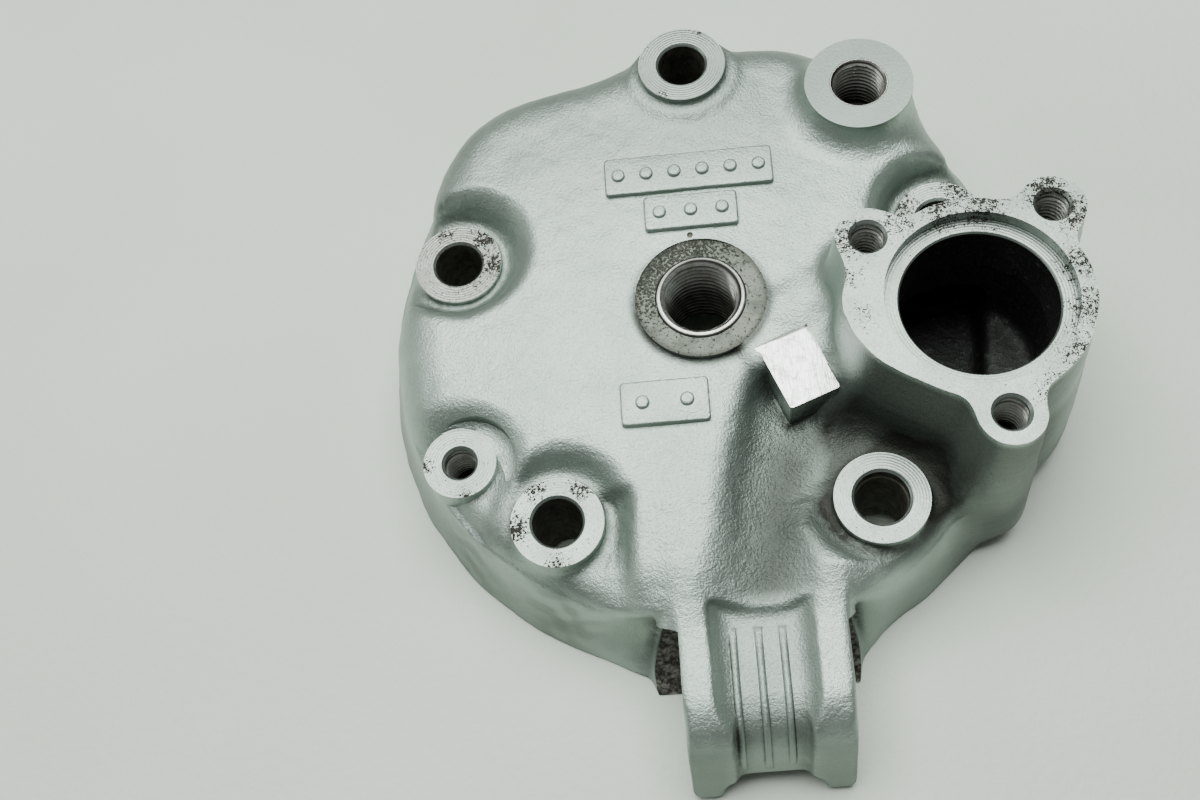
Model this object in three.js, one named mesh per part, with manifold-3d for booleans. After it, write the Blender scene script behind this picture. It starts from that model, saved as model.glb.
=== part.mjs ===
// Cylinder head of a small water-cooled two-stroke single.
// Millimetres, +Z up. The origin is where the spark plug axis crosses the gasket face.
// +Y points to the raised stud boss, and the engine stay bracket reaches out towards -Y.
import * as THREE from "three";
import { mergeVertices } from "three/addons/utils/BufferGeometryUtils.js";
import Module from "manifold-3d";

const wasm = await Module();
wasm.setup();

// ---------------------------------------------------------------- driving dimensions
const GAP = 0.3; // clearance between two separate pieces
const OVER = 2; // how far a cutter runs past the face it opens

const BASE_RADIUS = 61; // gasket flange
const ROOF_HEIGHT = 27.5; // flat roof of the water jacket at the plug
const ROOF_LEAN = 0.0027; // the roof rises by this share of its height for each mm along +Y
const WALL = 5; // usual casting wall
const FLANGE_HEIGHT = 2.5; // upright edge of the gasket flange, below the drafted wall
const SHOULDER = [[57.6, 17], [55, 23.5], [50.5, 26.8], [46, ROOF_HEIGHT]]; // wall rolls into roof
const JACKET = { inner: 34, outer: 51.5, crown: 15, roofOuter: 18.5, roofInner: 21 }; // water space
const COLUMN = { boss: 6.5, top: 30, ceiling: 13.5 }; // solid metal left inside the water space
const SLOT = { inner: 35.5, outer: 41.5, halfSpan: 13 }; // coolant slots, span in degrees

const STUD_COUNT = 5;
const STUD_CIRCLE = 46.8; // radius of the stud circle
const STUD_HOLE = 4.4; // radius, clearance for M8 studs
const STUD_FACE = 8.1; // radius of the machined nut face
const STUD_TOP = 22.3; // nut faces of the four lower bosses
const RAISED_STUD_TOP = 33.1; // nut face of the boss on +Y
const SOCKET_RELIEF = { radius: 10.8, depth: 0.8 }; // pocket that clears a socket spanner
const CLEAR_ABOVE = 45; // a height above every face of the casting
const NUT_CLEARANCE = 8.3; // radius kept free above a nut face beside the housing
const DOWEL_POCKET = { radius: 6.2, depth: 4.5 };

const PLUG_FACE = { radius: 11.65, z: 28 };
const PLUG_THREAD = { minor: 6.3, body: 8, collar: 8.5, collarDepth: 3, proud: 0.4, lead: 0.9, edge: 0.5 };
const CHAMBER = { bore: 28, squishInner: 19, squishRise: 1.6, depth: 9.5 };
const THREAD_FOOT = 0.9; // the plug thread reaches this far into the chamber's crown

const COVER = { x: 45.2, y: -11.6, z: 42, radius: 18.3 };
const COVER_SHOULDER = { x: 34.6, y: -11.2, radius: 11.6 }; // wider flank towards the plug
const COVER_BORE = { mouth: 15.6, mouthDepth: 2.5, throat: 12.95, neck: 28, floor: 13 };
const COVER_WAY = { from: 30, half: 6, bottom: 8, top: 18 }; // from the pocket to the water space
const COVER_SCREW = { circle: 21, angles: [143, 48, -86], lobe: 5.5, depth: 15 };
const COVER_BLEND = 5; // how softly the lobes run into the round body
const COVER_DRAFT = 0.004; // the housing widens by this share for each mm below its face
const COVER_FOOT = 2.5; // underside of the housing where it overhangs the flange

const SENDER = { x: 31.8, y: 37.9, z: 34.2, face: 9.8, foot: 15, thread: 4.5, body: 5.2 };
const SENDER_DEPTH = { insert: 12, drill: 20 };
const SMALL_BOSS = { x: -44.6, y: -25.1, z: 21, face: 6.5, relief: 9.2, reliefDepth: 2, depth: 12 };
const M6_INSERT = { minor: 2.55, body: 3.5, length: 9, recess: 1.5 };

const BRACKET = { left: -8, right: 19.5, root: -46, top: 21, bottom: 1.5, endTop: -76.3, endBottom: -82 };
const BRACKET_END_ROUND = 3.5;
const ROOT = { top: 15, coneTop: 54, coneFoot: 63 }; // swelling of the casting beside the bracket
const VALLEY = { x: 13, y: -36, floor: 19, lean: 0.012 }; // scoop in the roof, its banks lean outwards
const RAIL = 5.4; // width of the rails on both sides of the channel
const CHANNEL = { floor: 18.3, start: -53 };
const ARCH = { roof: 5, start: -60 };
const STAY_HOLE = { y: -67.5, z: 12.2, radius: 4.75, face: 12.8, faceDepth: 0.5 }; // bush seat
const STAY_BUSH = { bore: 3.2, length: 9 };
const CHANNEL_RIB = { count: 3, pitch: 4, width: 1.2, height: 0.6 };

const PAD = { x: 15.7, y: -15.1, width: 9.4, length: 12.8, turn: 21.2, top: 27.8, bottom: 15 };
const PLATES = [
  { x: -0.3, y: 25.6, width: 31, length: 7.8 },
  { x: -0.4, y: 17.6, width: 17, length: 6.6 },
  { x: -7.6, y: -18.6, width: 15.6, length: 7.8 },
];
const PLATE_PROUD = 0.9;

// ---------------------------------------------------------------- small tools
const radians = THREE.MathUtils.degToRad;

function polar(radius, degrees, centre = { x: 0, y: 0 }) {
  const angle = radians(degrees);
  return { x: centre.x + radius * Math.cos(angle), y: centre.y + radius * Math.sin(angle) };
}

const vectors = (points) => points.map(([x, y]) => new THREE.Vector2(x, y));

// A closed three.js geometry as a manifold solid, turned right side out when needed.
function solid(geometry) {
  const plain = geometry.clone();
  plain.deleteAttribute("normal");
  plain.deleteAttribute("uv");
  const merged = mergeVertices(plain, 1e-4);
  const vertProperties = Float32Array.from(merged.attributes.position.array);
  const triVerts = Uint32Array.from(merged.index.array);
  const corner = (i) => new THREE.Vector3().fromArray(vertProperties, 3 * triVerts[i]);
  let volume = 0;
  for (let i = 0; i < triVerts.length; i += 3) {
    volume += corner(i).dot(corner(i + 1).cross(corner(i + 2)));
  }
  if (volume < 0) {
    for (let i = 0; i < triVerts.length; i += 3) {
      [triVerts[i], triVerts[i + 1]] = [triVerts[i + 1], triVerts[i]];
    }
  }
  return new wasm.Manifold(new wasm.Mesh({ numProp: 3, vertProperties, triVerts }));
}

// Moves every vertex of a geometry by a rule that changes the vector it is given.
function reshape(geometry, rule) {
  const position = geometry.attributes.position;
  const vertex = new THREE.Vector3();
  for (let i = 0; i < position.count; i += 1) {
    vertex.fromBufferAttribute(position, i);
    rule(vertex);
    position.setXYZ(i, vertex.x, vertex.y, vertex.z);
  }
  return geometry;
}

// Upright cylinder or cone at a place in plan, between two heights.
function post(place, bottom, top, radius, footRadius = radius, segments = 32) {
  const geometry = new THREE.CylinderGeometry(radius, footRadius, top - bottom, segments);
  geometry.rotateX(Math.PI / 2);
  geometry.translate(place.x, place.y, (bottom + top) / 2);
  return solid(geometry);
}

// Cylinder lying along X, between two x values.
function crossPost(y, z, from, to, radius, segments = 32) {
  const geometry = new THREE.CylinderGeometry(radius, radius, to - from, segments);
  geometry.rotateZ(Math.PI / 2);
  geometry.translate((from + to) / 2, y, z);
  return solid(geometry);
}

// Body of revolution about +Z from [radius, height] points.
function turned(points, place = { x: 0, y: 0 }, segments = 40) {
  const geometry = new THREE.LatheGeometry(vectors(points), segments);
  geometry.rotateX(Math.PI / 2);
  geometry.translate(place.x, place.y, 0);
  return geometry;
}

// Straight prism over a plan shape, between two heights.
function prism(shape, bottom, top) {
  const geometry = new THREE.ExtrudeGeometry(shape, {
    depth: top - bottom,
    bevelEnabled: false,
    curveSegments: 8,
  });
  geometry.translate(0, 0, bottom);
  return geometry;
}

// Prism over a side view in the YZ plane, between two x values.
function sidePrism(shape, from, to) {
  const geometry = prism(shape, from, to);
  geometry.rotateZ(Math.PI / 2);
  geometry.rotateY(Math.PI / 2);
  return geometry;
}

function block(x0, x1, y0, y1, z0, z1) {
  const geometry = new THREE.BoxGeometry(x1 - x0, y1 - y0, z1 - z0);
  geometry.translate((x0 + x1) / 2, (y0 + y1) / 2, (z0 + z1) / 2);
  return solid(geometry);
}

const joinAll = (parts) => parts.reduce((whole, part) => whole.add(part));
const cutAll = (body, cutters) => cutters.reduce((rest, cutter) => rest.subtract(cutter), body);

// ---------------------------------------------------------------- places
const studs = Array.from({ length: STUD_COUNT }, (unused, index) => {
  const place = polar(STUD_CIRCLE, 90 + (360 / STUD_COUNT) * index);
  return { ...place, top: index === 0 ? RAISED_STUD_TOP : STUD_TOP };
});
const lowerStuds = studs.slice(1);
const PLUG = { x: 0, y: 0 };
const coverScrews = COVER_SCREW.angles.map((angle) => polar(COVER_SCREW.circle, angle, COVER));

// The roof and the wall lean together: everything rises a little towards +Y.
function lean(vertex) {
  vertex.z *= 1 + ROOF_LEAN * vertex.y;
}

// ---------------------------------------------------------------- outside of the casting
function jacketBody() {
  const profile = [
    [0, 0],
    [BASE_RADIUS, 0],
    [BASE_RADIUS, FLANGE_HEIGHT],
    ...SHOULDER,
    [0, ROOF_HEIGHT],
  ];
  return solid(reshape(turned(profile, undefined, 72), lean));
}

// Plan outline of the thermostat cover face: a round body, its wider flank and three screw
// lobes. Each point lies where a ray from the bore axis leaves the blended union of circles.
function coverOutline() {
  const rays = 60;
  const circles = coverScrews.map((screw) => ({ ...screw, radius: COVER_SCREW.lobe }));
  circles.push(COVER_SHOULDER);
  const depthAt = (x, y) => {
    let nearest = Math.hypot(x - COVER.x, y - COVER.y) - COVER.radius;
    for (const circle of circles) {
      const other = Math.hypot(x - circle.x, y - circle.y) - circle.radius;
      const overlap = Math.max(COVER_BLEND - Math.abs(nearest - other), 0) / COVER_BLEND;
      nearest = Math.min(nearest, other) - (overlap * overlap * COVER_BLEND) / 4;
    }
    return nearest;
  };
  return Array.from({ length: rays }, (unused, index) => {
    const angle = (360 / rays) * index;
    let inside = 0;
    let outside = COVER.radius + 3 * COVER_SCREW.lobe;
    while (outside - inside > 1e-3) {
      const middle = (inside + outside) / 2;
      const point = polar(middle, angle, COVER);
      if (depthAt(point.x, point.y) < 0) inside = middle;
      else outside = middle;
    }
    const edge = polar(inside, angle, COVER);
    return [edge.x, edge.y];
  });
}

function coverHousing() {
  const geometry = prism(new THREE.Shape(vectors(coverOutline())), COVER_FOOT, COVER.z);
  reshape(geometry, (vertex) => {
    const widen = 1 + COVER_DRAFT * (COVER.z - vertex.z);
    vertex.x = COVER.x + (vertex.x - COVER.x) * widen;
    vertex.y = COVER.y + (vertex.y - COVER.y) * widen;
  });
  return solid(geometry);
}

// Root of the bracket, where the casting swells out to meet it on both sides.
function bracketRoot() {
  const outline = new THREE.Shape();
  outline.moveTo(-26, -44);
  outline.lineTo(-26, -54);
  outline.quadraticCurveTo(-14, -60, BRACKET.left, -71);
  outline.lineTo(BRACKET.right, -71);
  outline.quadraticCurveTo(25, -60, 37, -46);
  outline.lineTo(37, -40);
  outline.closePath();
  const cone = post({ x: 3, y: -6 }, 0, ROOT.top, ROOT.coneTop, ROOT.coneFoot, 64);
  return solid(prism(outline, 0, ROOT.top)).intersect(cone);
}

// Side view of the bracket: flat top with a rounded end that slopes out downwards.
function bracketSide() {
  const round = BRACKET_END_ROUND;
  const side = new THREE.Shape();
  side.moveTo(BRACKET.root, BRACKET.bottom);
  side.lineTo(BRACKET.root, BRACKET.top);
  side.lineTo(BRACKET.endTop + round, BRACKET.top);
  side.quadraticCurveTo(BRACKET.endTop, BRACKET.top, BRACKET.endTop - 0.2 * round, BRACKET.top - round);
  side.lineTo(BRACKET.endBottom, BRACKET.bottom);
  side.closePath();
  return side;
}

function bracketBody() {
  return solid(sidePrism(bracketSide(), BRACKET.left, BRACKET.right));
}

function channelRibs() {
  const middle = (BRACKET.left + BRACKET.right) / 2;
  return Array.from({ length: CHANNEL_RIB.count }, (unused, index) => {
    const x = middle + (index - (CHANNEL_RIB.count - 1) / 2) * CHANNEL_RIB.pitch;
    const half = CHANNEL_RIB.width / 2;
    const top = CHANNEL.floor + CHANNEL_RIB.height;
    return block(x - half, x + half, BRACKET.endTop + 1, CHANNEL.start - 2, CHANNEL.floor - 1, top);
  });
}

// Cutter for the channel along the top of the bracket: a dished floor with soft corners.
function channelCutter() {
  const left = BRACKET.left + RAIL;
  const right = BRACKET.right - RAIL;
  const outline = new THREE.Shape();
  outline.moveTo(left - 1, BRACKET.top + OVER);
  outline.lineTo(left, BRACKET.top);
  outline.quadraticCurveTo(left + 0.6, CHANNEL.floor, left + 4, CHANNEL.floor);
  outline.lineTo(right - 4, CHANNEL.floor);
  outline.quadraticCurveTo(right - 0.6, CHANNEL.floor, right, BRACKET.top);
  outline.lineTo(right + 1, BRACKET.top + OVER);
  outline.closePath();
  const geometry = prism(outline, -CHANNEL.start, -BRACKET.endBottom + OVER);
  geometry.rotateX(Math.PI / 2);
  return solid(geometry);
}

// Cutter for the arch under the bracket, open to the end.
function archCutter() {
  const left = BRACKET.left + RAIL;
  const right = BRACKET.right - RAIL;
  const outline = new THREE.Shape();
  outline.moveTo(left, -OVER);
  outline.quadraticCurveTo(left, ARCH.roof, left + 4, ARCH.roof);
  outline.lineTo(right - 4, ARCH.roof);
  outline.quadraticCurveTo(right, ARCH.roof, right, -OVER);
  outline.closePath();
  const geometry = prism(outline, -ARCH.start, -BRACKET.endBottom + OVER);
  geometry.rotateX(Math.PI / 2);
  return solid(geometry);
}

// Scooped valley that runs from the filed pad down to the bracket channel, and on between
// the pad and the thermostat housing. Its banks lean outwards.
function valleyCutter() {
  const outline = new THREE.Shape();
  outline.moveTo(9.2, -13.5);
  outline.quadraticCurveTo(4, -24, 2.5, -36);
  outline.lineTo(1.5, -54);
  outline.lineTo(13.5, -54);
  outline.quadraticCurveTo(15, -44, 19, -38);
  outline.lineTo(31, -32);
  outline.lineTo(27, -15);
  outline.lineTo(20, -11);
  outline.closePath();
  const geometry = prism(outline, VALLEY.floor, ROOF_HEIGHT + 8);
  reshape(geometry, (vertex) => {
    const widen = 1 + VALLEY.lean * (vertex.z - VALLEY.floor);
    vertex.x = VALLEY.x + (vertex.x - VALLEY.x) * widen;
    vertex.y = VALLEY.y + (vertex.y - VALLEY.y) * widen;
  });
  return solid(geometry);
}

function filedPad() {
  const geometry = new THREE.BoxGeometry(PAD.width, PAD.length, PAD.top - PAD.bottom);
  geometry.rotateZ(radians(PAD.turn));
  geometry.translate(PAD.x, PAD.y, (PAD.top + PAD.bottom) / 2);
  return solid(geometry);
}

// Blank raised plate on the roof.
function plate({ x, y, width, length }) {
  const lower = ROOF_HEIGHT - 3;
  const outline = new THREE.Shape();
  outline.moveTo(x - width / 2, y - length / 2);
  outline.lineTo(x + width / 2, y - length / 2);
  outline.lineTo(x + width / 2, y + length / 2);
  outline.lineTo(x - width / 2, y + length / 2);
  outline.closePath();
  return solid(reshape(prism(outline, lower, ROOF_HEIGHT + PLATE_PROUD), lean));
}

// ---------------------------------------------------------------- inside of the casting
// Combustion chamber: a squish band that rises inwards, then a bowl up to the plug hole.
function chamberCutter() {
  const bowl = new THREE.EllipseCurve(0, CHAMBER.squishRise, CHAMBER.squishInner,
    CHAMBER.depth - CHAMBER.squishRise, 0, Math.PI / 2);
  const arc = bowl.getPoints(7).map((point) => [point.x, point.y]);
  arc[arc.length - 1][0] = 0;
  return solid(turned([[0, -OVER], [CHAMBER.bore, -OVER], [CHAMBER.bore, 0], ...arc], undefined, 48));
}

// Water space around the chamber, with solid columns left round every stud and boss, and
// kept clear of the valley in the roof.
function waterJacket() {
  const { inner, outer, crown, roofOuter, roofInner } = JACKET;
  const core = solid(turned([
    [inner, WALL],
    [outer, WALL],
    [outer - 2.5, roofOuter],
    [crown, roofInner],
    [crown, roofInner - 3],
    [inner, WALL],
  ], undefined, 48));
  const columns = studs.map((stud) => post(stud, 0, COLUMN.top, STUD_FACE, STUD_FACE, 24));
  columns.push(post(SMALL_BOSS, 0, COLUMN.top, COLUMN.boss, COLUMN.boss, 24));
  columns.push(block(-3, 22, -60, -8, COLUMN.ceiling, COLUMN.top));
  columns.push(block(18, 33, -36, -12, COLUMN.ceiling, COLUMN.top));
  return cutAll(core, columns);
}

// Curved slots that pass coolant up from the cylinder, one between each two studs.
function coolantSlots() {
  return studs.map((unused, index) => {
    const middle = 90 + (360 / STUD_COUNT) * (index + 0.5);
    const start = radians(middle - SLOT.halfSpan);
    const end = radians(middle + SLOT.halfSpan);
    const outline = new THREE.Shape();
    outline.absarc(0, 0, SLOT.outer, start, end, false);
    outline.absarc(0, 0, SLOT.inner, end, start, true);
    outline.closePath();
    return solid(prism(outline, -OVER, WALL + OVER));
  });
}

// Thermostat pocket: seat step, throat and the way through to the water jacket.
function thermostatPocket() {
  const { mouth, mouthDepth, throat, neck, floor } = COVER_BORE;
  const { from, half, bottom, top } = COVER_WAY;
  const seat = COVER.z - mouthDepth;
  return joinAll([
    post(COVER, seat, COVER.z + OVER, mouth, mouth, 48),
    post(COVER, neck, seat + 1, throat, throat, 48),
    post(COVER, floor, neck + 0.5, throat + 1.5, throat - 1, 32),
    block(from, COVER.x, COVER.y - half, COVER.y + half, bottom, top),
  ]);
}

// Room for a thread insert sunk a little below a face.
function insertHole(place, face, bodyRadius, length, recess, drillRadius, drillDepth) {
  return joinAll([
    post(place, face - recess - length - GAP, face + OVER, bodyRadius + GAP, bodyRadius + GAP, 28),
    post(place, face - drillDepth, face, drillRadius, drillRadius, 20),
  ]);
}

function plugHole() {
  const { minor, body, collar, collarDepth } = PLUG_THREAD;
  const step = PLUG_FACE.z - collarDepth - GAP;
  return joinAll([
    post(PLUG, step, PLUG_FACE.z + OVER, collar + GAP, collar + GAP, 36),
    post(PLUG, CHAMBER.depth - THREAD_FOOT - GAP, step + 1, body + GAP, body + GAP, 36),
    post(PLUG, CHAMBER.depth - 4, step, minor, minor, 36),
  ]);
}

function stayCutters() {
  const { y, z, radius, face, faceDepth } = STAY_HOLE;
  const reach = 4 * OVER;
  return [
    crossPost(y, z, BRACKET.left - OVER, BRACKET.right + OVER, radius + GAP, 32),
    crossPost(y, z, BRACKET.left - reach, BRACKET.left + faceDepth, face, 40),
    crossPost(y, z, BRACKET.right - faceDepth, BRACKET.right + reach, face, 40),
  ];
}

// ---------------------------------------------------------------- pieces
function headCasting() {
  const reliefs = lowerStuds.map((stud) => post(stud, stud.top - SOCKET_RELIEF.depth, CLEAR_ABOVE,
    SOCKET_RELIEF.radius));
  reliefs.push(post(SMALL_BOSS, SMALL_BOSS.z - SMALL_BOSS.reliefDepth, CLEAR_ABOVE, SMALL_BOSS.relief,
    SMALL_BOSS.relief, 28));

  const roofed = cutAll(joinAll([jacketBody(), bracketRoot()]), [valleyCutter()]);
  const shell = joinAll([
    roofed,
    filedPad(),
    bracketBody().subtract(channelCutter()),
    ...channelRibs(),
    post(SENDER, 4, SENDER.z, SENDER.face, SENDER.foot),
    post(PLUG, ROOF_HEIGHT - 4, PLUG_FACE.z, PLUG_FACE.radius, PLUG_FACE.radius, 40),
    ...PLATES.map(plate),
  ]);
  const relieved = cutAll(shell, reliefs);
  const outside = joinAll([
    relieved,
    coverHousing(),
    post(SMALL_BOSS, 8, SMALL_BOSS.z, SMALL_BOSS.face, SMALL_BOSS.face + 0.6),
    ...studs.map((stud) => post(stud, 4, stud.top, STUD_FACE, STUD_FACE + 0.5)),
  ]);

  const m6 = (place, face, depth) => insertHole(place, face, M6_INSERT.body, M6_INSERT.length,
    M6_INSERT.recess, M6_INSERT.minor, depth);
  return cutAll(outside, [
    waterJacket(),
    chamberCutter(),
    thermostatPocket(),
    plugHole(),
    archCutter(),
    post(studs[4], STUD_TOP, CLEAR_ABOVE, NUT_CLEARANCE),
    insertHole(SENDER, SENDER.z, SENDER.body, SENDER_DEPTH.insert, 0, SENDER.thread, SENDER_DEPTH.drill),
    m6(SMALL_BOSS, SMALL_BOSS.z, SMALL_BOSS.depth),
    ...coverScrews.map((screw) => m6(screw, COVER.z, COVER_SCREW.depth)),
    ...studs.map((stud) => post(stud, -OVER, stud.top + OVER, STUD_HOLE, STUD_HOLE, 28)),
    ...[studs[1], studs[3]].map((stud) => post(stud, -OVER, DOWEL_POCKET.depth, DOWEL_POCKET.radius)),
    ...coolantSlots(),
    ...stayCutters(),
  ]);
}

// Sleeve between two heights with one outer and one inner radius.
function sleeve(place, bottom, top, outer, inner, segments = 32) {
  return solid(turned([
    [inner, bottom],
    [outer, bottom],
    [outer, top],
    [inner, top],
    [inner, bottom],
  ], place, segments));
}

function plugThreadInsert() {
  const { minor, body, collar, collarDepth, proud, lead, edge } = PLUG_THREAD;
  const step = PLUG_FACE.z - collarDepth;
  const foot = CHAMBER.depth - THREAD_FOOT;
  return solid(turned([
    [minor, foot],
    [body, foot],
    [body, step],
    [collar, step],
    [collar, PLUG_FACE.z],
    [collar - edge, PLUG_FACE.z + proud],
    [minor + lead, PLUG_FACE.z + proud],
    [minor, PLUG_FACE.z + proud - lead],
    [minor, foot],
  ], PLUG, 36));
}

function threadInsert(place, face) {
  const top = face - M6_INSERT.recess;
  return sleeve(place, top - M6_INSERT.length, top, M6_INSERT.body, M6_INSERT.minor, 28);
}

function stayBush(from) {
  const bush = sleeve(PLUG, 0, STAY_BUSH.length, STAY_HOLE.radius, STAY_BUSH.bore, 36);
  return bush.rotate([0, 90, 0]).translate([from, STAY_HOLE.y, STAY_HOLE.z]);
}

// ---------------------------------------------------------------- materials and scene
const finishes = {
  cast: { color: 0xb9c0bb, roughness: 0.5, metalness: 0.85 },
  steel: { color: 0xc9c9c4, roughness: 0.3, metalness: 1 },
  bush: { color: 0x9fa3a2, roughness: 0.35, metalness: 1 },
};

function piece(name, manifold, finish) {
  const mesh = manifold.getMesh();
  const geometry = new THREE.BufferGeometry();
  geometry.setAttribute("position", new THREE.BufferAttribute(mesh.vertProperties, 3));
  geometry.setIndex(new THREE.BufferAttribute(mesh.triVerts, 1));
  geometry.computeVertexNormals();
  const object = new THREE.Mesh(geometry, new THREE.MeshStandardMaterial(finishes[finish]));
  object.name = name;
  return object;
}

const head = new THREE.Group();
head.name = "cylinder_head";
head.add(piece("head_casting", headCasting(), "cast"));
head.add(piece("plug_thread_insert", plugThreadInsert(), "steel"));
head.add(piece("sender_thread_insert",
  sleeve(SENDER, SENDER.z - SENDER_DEPTH.insert, SENDER.z, SENDER.body, SENDER.thread), "steel"));
head.add(piece("small_boss_thread_insert", threadInsert(SMALL_BOSS, SMALL_BOSS.z), "steel"));
["left", "right", "lower"].forEach((side, index) => {
  const insert = threadInsert(coverScrews[index], COVER.z);
  head.add(piece(`cover_thread_insert_${side}`, insert, "steel"));
});
head.add(piece("stay_bush_left", stayBush(BRACKET.left + STAY_HOLE.faceDepth), "bush"));
head.add(piece("stay_bush_right",
  stayBush(BRACKET.right - STAY_HOLE.faceDepth - STAY_BUSH.length), "bush"));

export default head;
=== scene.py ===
"""Looks of a two-stroke cylinder head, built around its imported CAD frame.

The casting is a field of signed distances on a grid: blended solids for the cast shape, meshed
once. Plates, ribs, crisp bosses and the pad are joined to that mesh, and turned cutters then
machine its faces and bores. Thread sleeves and bushes are turned meshes. Lengths are in
millimetres until an object is made, and the origin is where the spark plug axis crosses the
gasket face.
"""

import math

import bpy
import numpy as np
import openvdb
from mathutils import Matrix, Vector


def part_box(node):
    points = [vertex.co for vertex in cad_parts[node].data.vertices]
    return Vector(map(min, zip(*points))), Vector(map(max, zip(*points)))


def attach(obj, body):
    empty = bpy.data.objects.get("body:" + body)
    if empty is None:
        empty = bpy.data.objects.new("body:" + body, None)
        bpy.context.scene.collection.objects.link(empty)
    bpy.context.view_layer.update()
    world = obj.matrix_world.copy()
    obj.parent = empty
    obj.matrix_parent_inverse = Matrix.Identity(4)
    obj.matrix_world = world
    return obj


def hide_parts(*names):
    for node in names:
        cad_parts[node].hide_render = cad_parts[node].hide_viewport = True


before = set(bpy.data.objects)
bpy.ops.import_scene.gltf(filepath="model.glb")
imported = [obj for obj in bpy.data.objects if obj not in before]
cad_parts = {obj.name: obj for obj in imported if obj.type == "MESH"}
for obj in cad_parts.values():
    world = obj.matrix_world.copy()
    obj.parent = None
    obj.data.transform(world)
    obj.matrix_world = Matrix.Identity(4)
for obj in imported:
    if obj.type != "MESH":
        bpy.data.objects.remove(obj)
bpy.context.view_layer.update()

# ---------------------------------------------------------------- driving dimensions
MM = 0.001
VOXEL = 0.45

STUD_CIRCLE = 46.8
STUD_HOLE = 4.4
STUD_FACE = 8.1
STUD_TOP = 22.3
RAISED_STUD_TOP = 33.1
POCKET_FLOOR = 21.5
TOP, LEFT, LOWER_LEFT, LOWER_RIGHT, RIGHT = range(5)
DOWELLED = (LEFT, LOWER_RIGHT)
DOWEL = (6.2, 4.5)  # radius and depth of the recess

PLUG_SEAT = {"radius": 11.65, "z": 28.0}
PLUG_COLLAR_DEPTH = 3.3
COVER = {"x": 45.2, "y": -11.6, "z": 42.0, "radius": 18.3, "foot": 2.5, "draft": 0.075}
COVER_SHOULDER = (34.6, -11.2, 11.6)
COVER_BORE = {"mouth": 15.6, "mouth_depth": 2.5, "throat": 12.95, "floor": 13.0}
COVER_SCREW = {"circle": 21.0, "angles": (143, 48, -86), "lobe": 5.5, "depth": 15.0}
SENDER = {"x": 31.8, "y": 37.9, "z": 34.2, "radius": 9.8, "hole": 5.3}
SMALL_BOSS = {"x": -44.6, "y": -25.1, "z": 21.0, "radius": 6.5}
SMALL_RELIEF = {"x": -42.9, "y": -26.2, "radius": 8.7, "z": 20.6, "rise": 1.0}
M6_HOLE = 3.65
M6_MOUTH = 3.3
PUNCH_MARK = (-1.0, 12.6)

# Threads: radius at the crests, depth, pitch.
PLUG_THREAD = (6.3, 0.7, 1.25)
SENDER_THREAD = (4.35, 0.5, 1.0)
M6_THREAD = (2.5, 0.55, 1.0)

# The distance to a leaning face is measured level, so it is multiplied by the cosine of the lean.
ROOF = {"height": 27.5, "lean": 0.0743, "dome": 0.0004, "mound": 1.3, "mound_reach": 15}
WALL = {"radius": 60.8, "draft": 0.235, "cosine": 0.97}
VALLEY_LEVEL = 18.9
BANK_COSINE = 0.85

BRACKET = {"left": -8.2, "right": 19.6, "top": 21.0, "bottom": 0.5, "end_top": -76.2, "end_bottom": -82.0}
END_ROUND = 8
END_COSINE = 0.96
CHANNEL_START = -53.2
CHANNEL_FLOOR = 18.2
CHANNEL_END_DEPTH = 1.4
STAY_HOLE = {"y": -67.5, "z": 12.3, "radius": 5.05, "face": 12.9}
RIBS = (0.6, 4.9, 8.9)
RIB = {"half_width": 0.7, "height": 0.58, "sunk": 0.8, "start": -57.5, "lowest": 7.5}

PAD = {"x": 15.7, "y": -15.1, "width": 9.4, "length": 12.8, "turn": math.radians(21.2), "top": 27.6}
# Plates: middle, width, length, number of pips.
PLATES = ((-0.4, 25.3, 30.8, 7.7, 6), (-0.5, 17.1, 17.0, 6.9, 3), (-7.6, -19.0, 15.5, 8.0, 2))
PLATE_PROUD = 1.1
PIP = {"size": 2.6, "round": 1.25, "proud": 0.55}

CHAMBER = {"bore": 28.0, "squish": 19.0, "rise": 1.6, "depth": 9.5}
WATER = {"outer": 51, "inner": 15, "bottom": 5, "top": 18.5, "column": 8.3}
SLOT = {"circle": 38.5, "half_width": 3, "half_angle": 13, "depth": 7}
COVER_ROOM = {"radius": 14, "top": 30}
ARCH = {"half_width": 8.3, "height": 5, "start": -60}


def polar(radius, degrees, centre=(0.0, 0.0)):
    angle = math.radians(degrees)
    return centre[0] + radius * math.cos(angle), centre[1] + radius * math.sin(angle)


STUDS = [polar(STUD_CIRCLE, 90 + 72 * index) for index in range(5)]
STUD_HEIGHTS = [RAISED_STUD_TOP] + [STUD_TOP] * 4
BRACKET_MIDDLE = (BRACKET["left"] + BRACKET["right"]) / 2
COVER_PLACE = (COVER["x"], COVER["y"])
SENDER_PLACE = (SENDER["x"], SENDER["y"])
SMALL_PLACE = (SMALL_BOSS["x"], SMALL_BOSS["y"])
RELIEF_PLACE = (SMALL_RELIEF["x"], SMALL_RELIEF["y"])
COVER_SCREWS = [polar(COVER_SCREW["circle"], angle, COVER_PLACE) for angle in COVER_SCREW["angles"]]


# ---------------------------------------------------------------- blended solids on a grid
def grid_axis(low, high):
    return np.arange(low, high, VOXEL, dtype=np.float32)


AXES = (grid_axis(-68, 74), grid_axis(-88, 66), grid_axis(-3, 46))


def smooth_min(a, b, blend):
    """The smaller of two distances, with a fillet about `blend` wide where they meet."""
    overlap = np.maximum(blend - np.abs(a - b), 0)
    return np.minimum(a, b) - overlap * overlap / (4 * blend)


def smooth_max(a, b, blend):
    return -smooth_min(-a, -b, blend)


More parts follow.
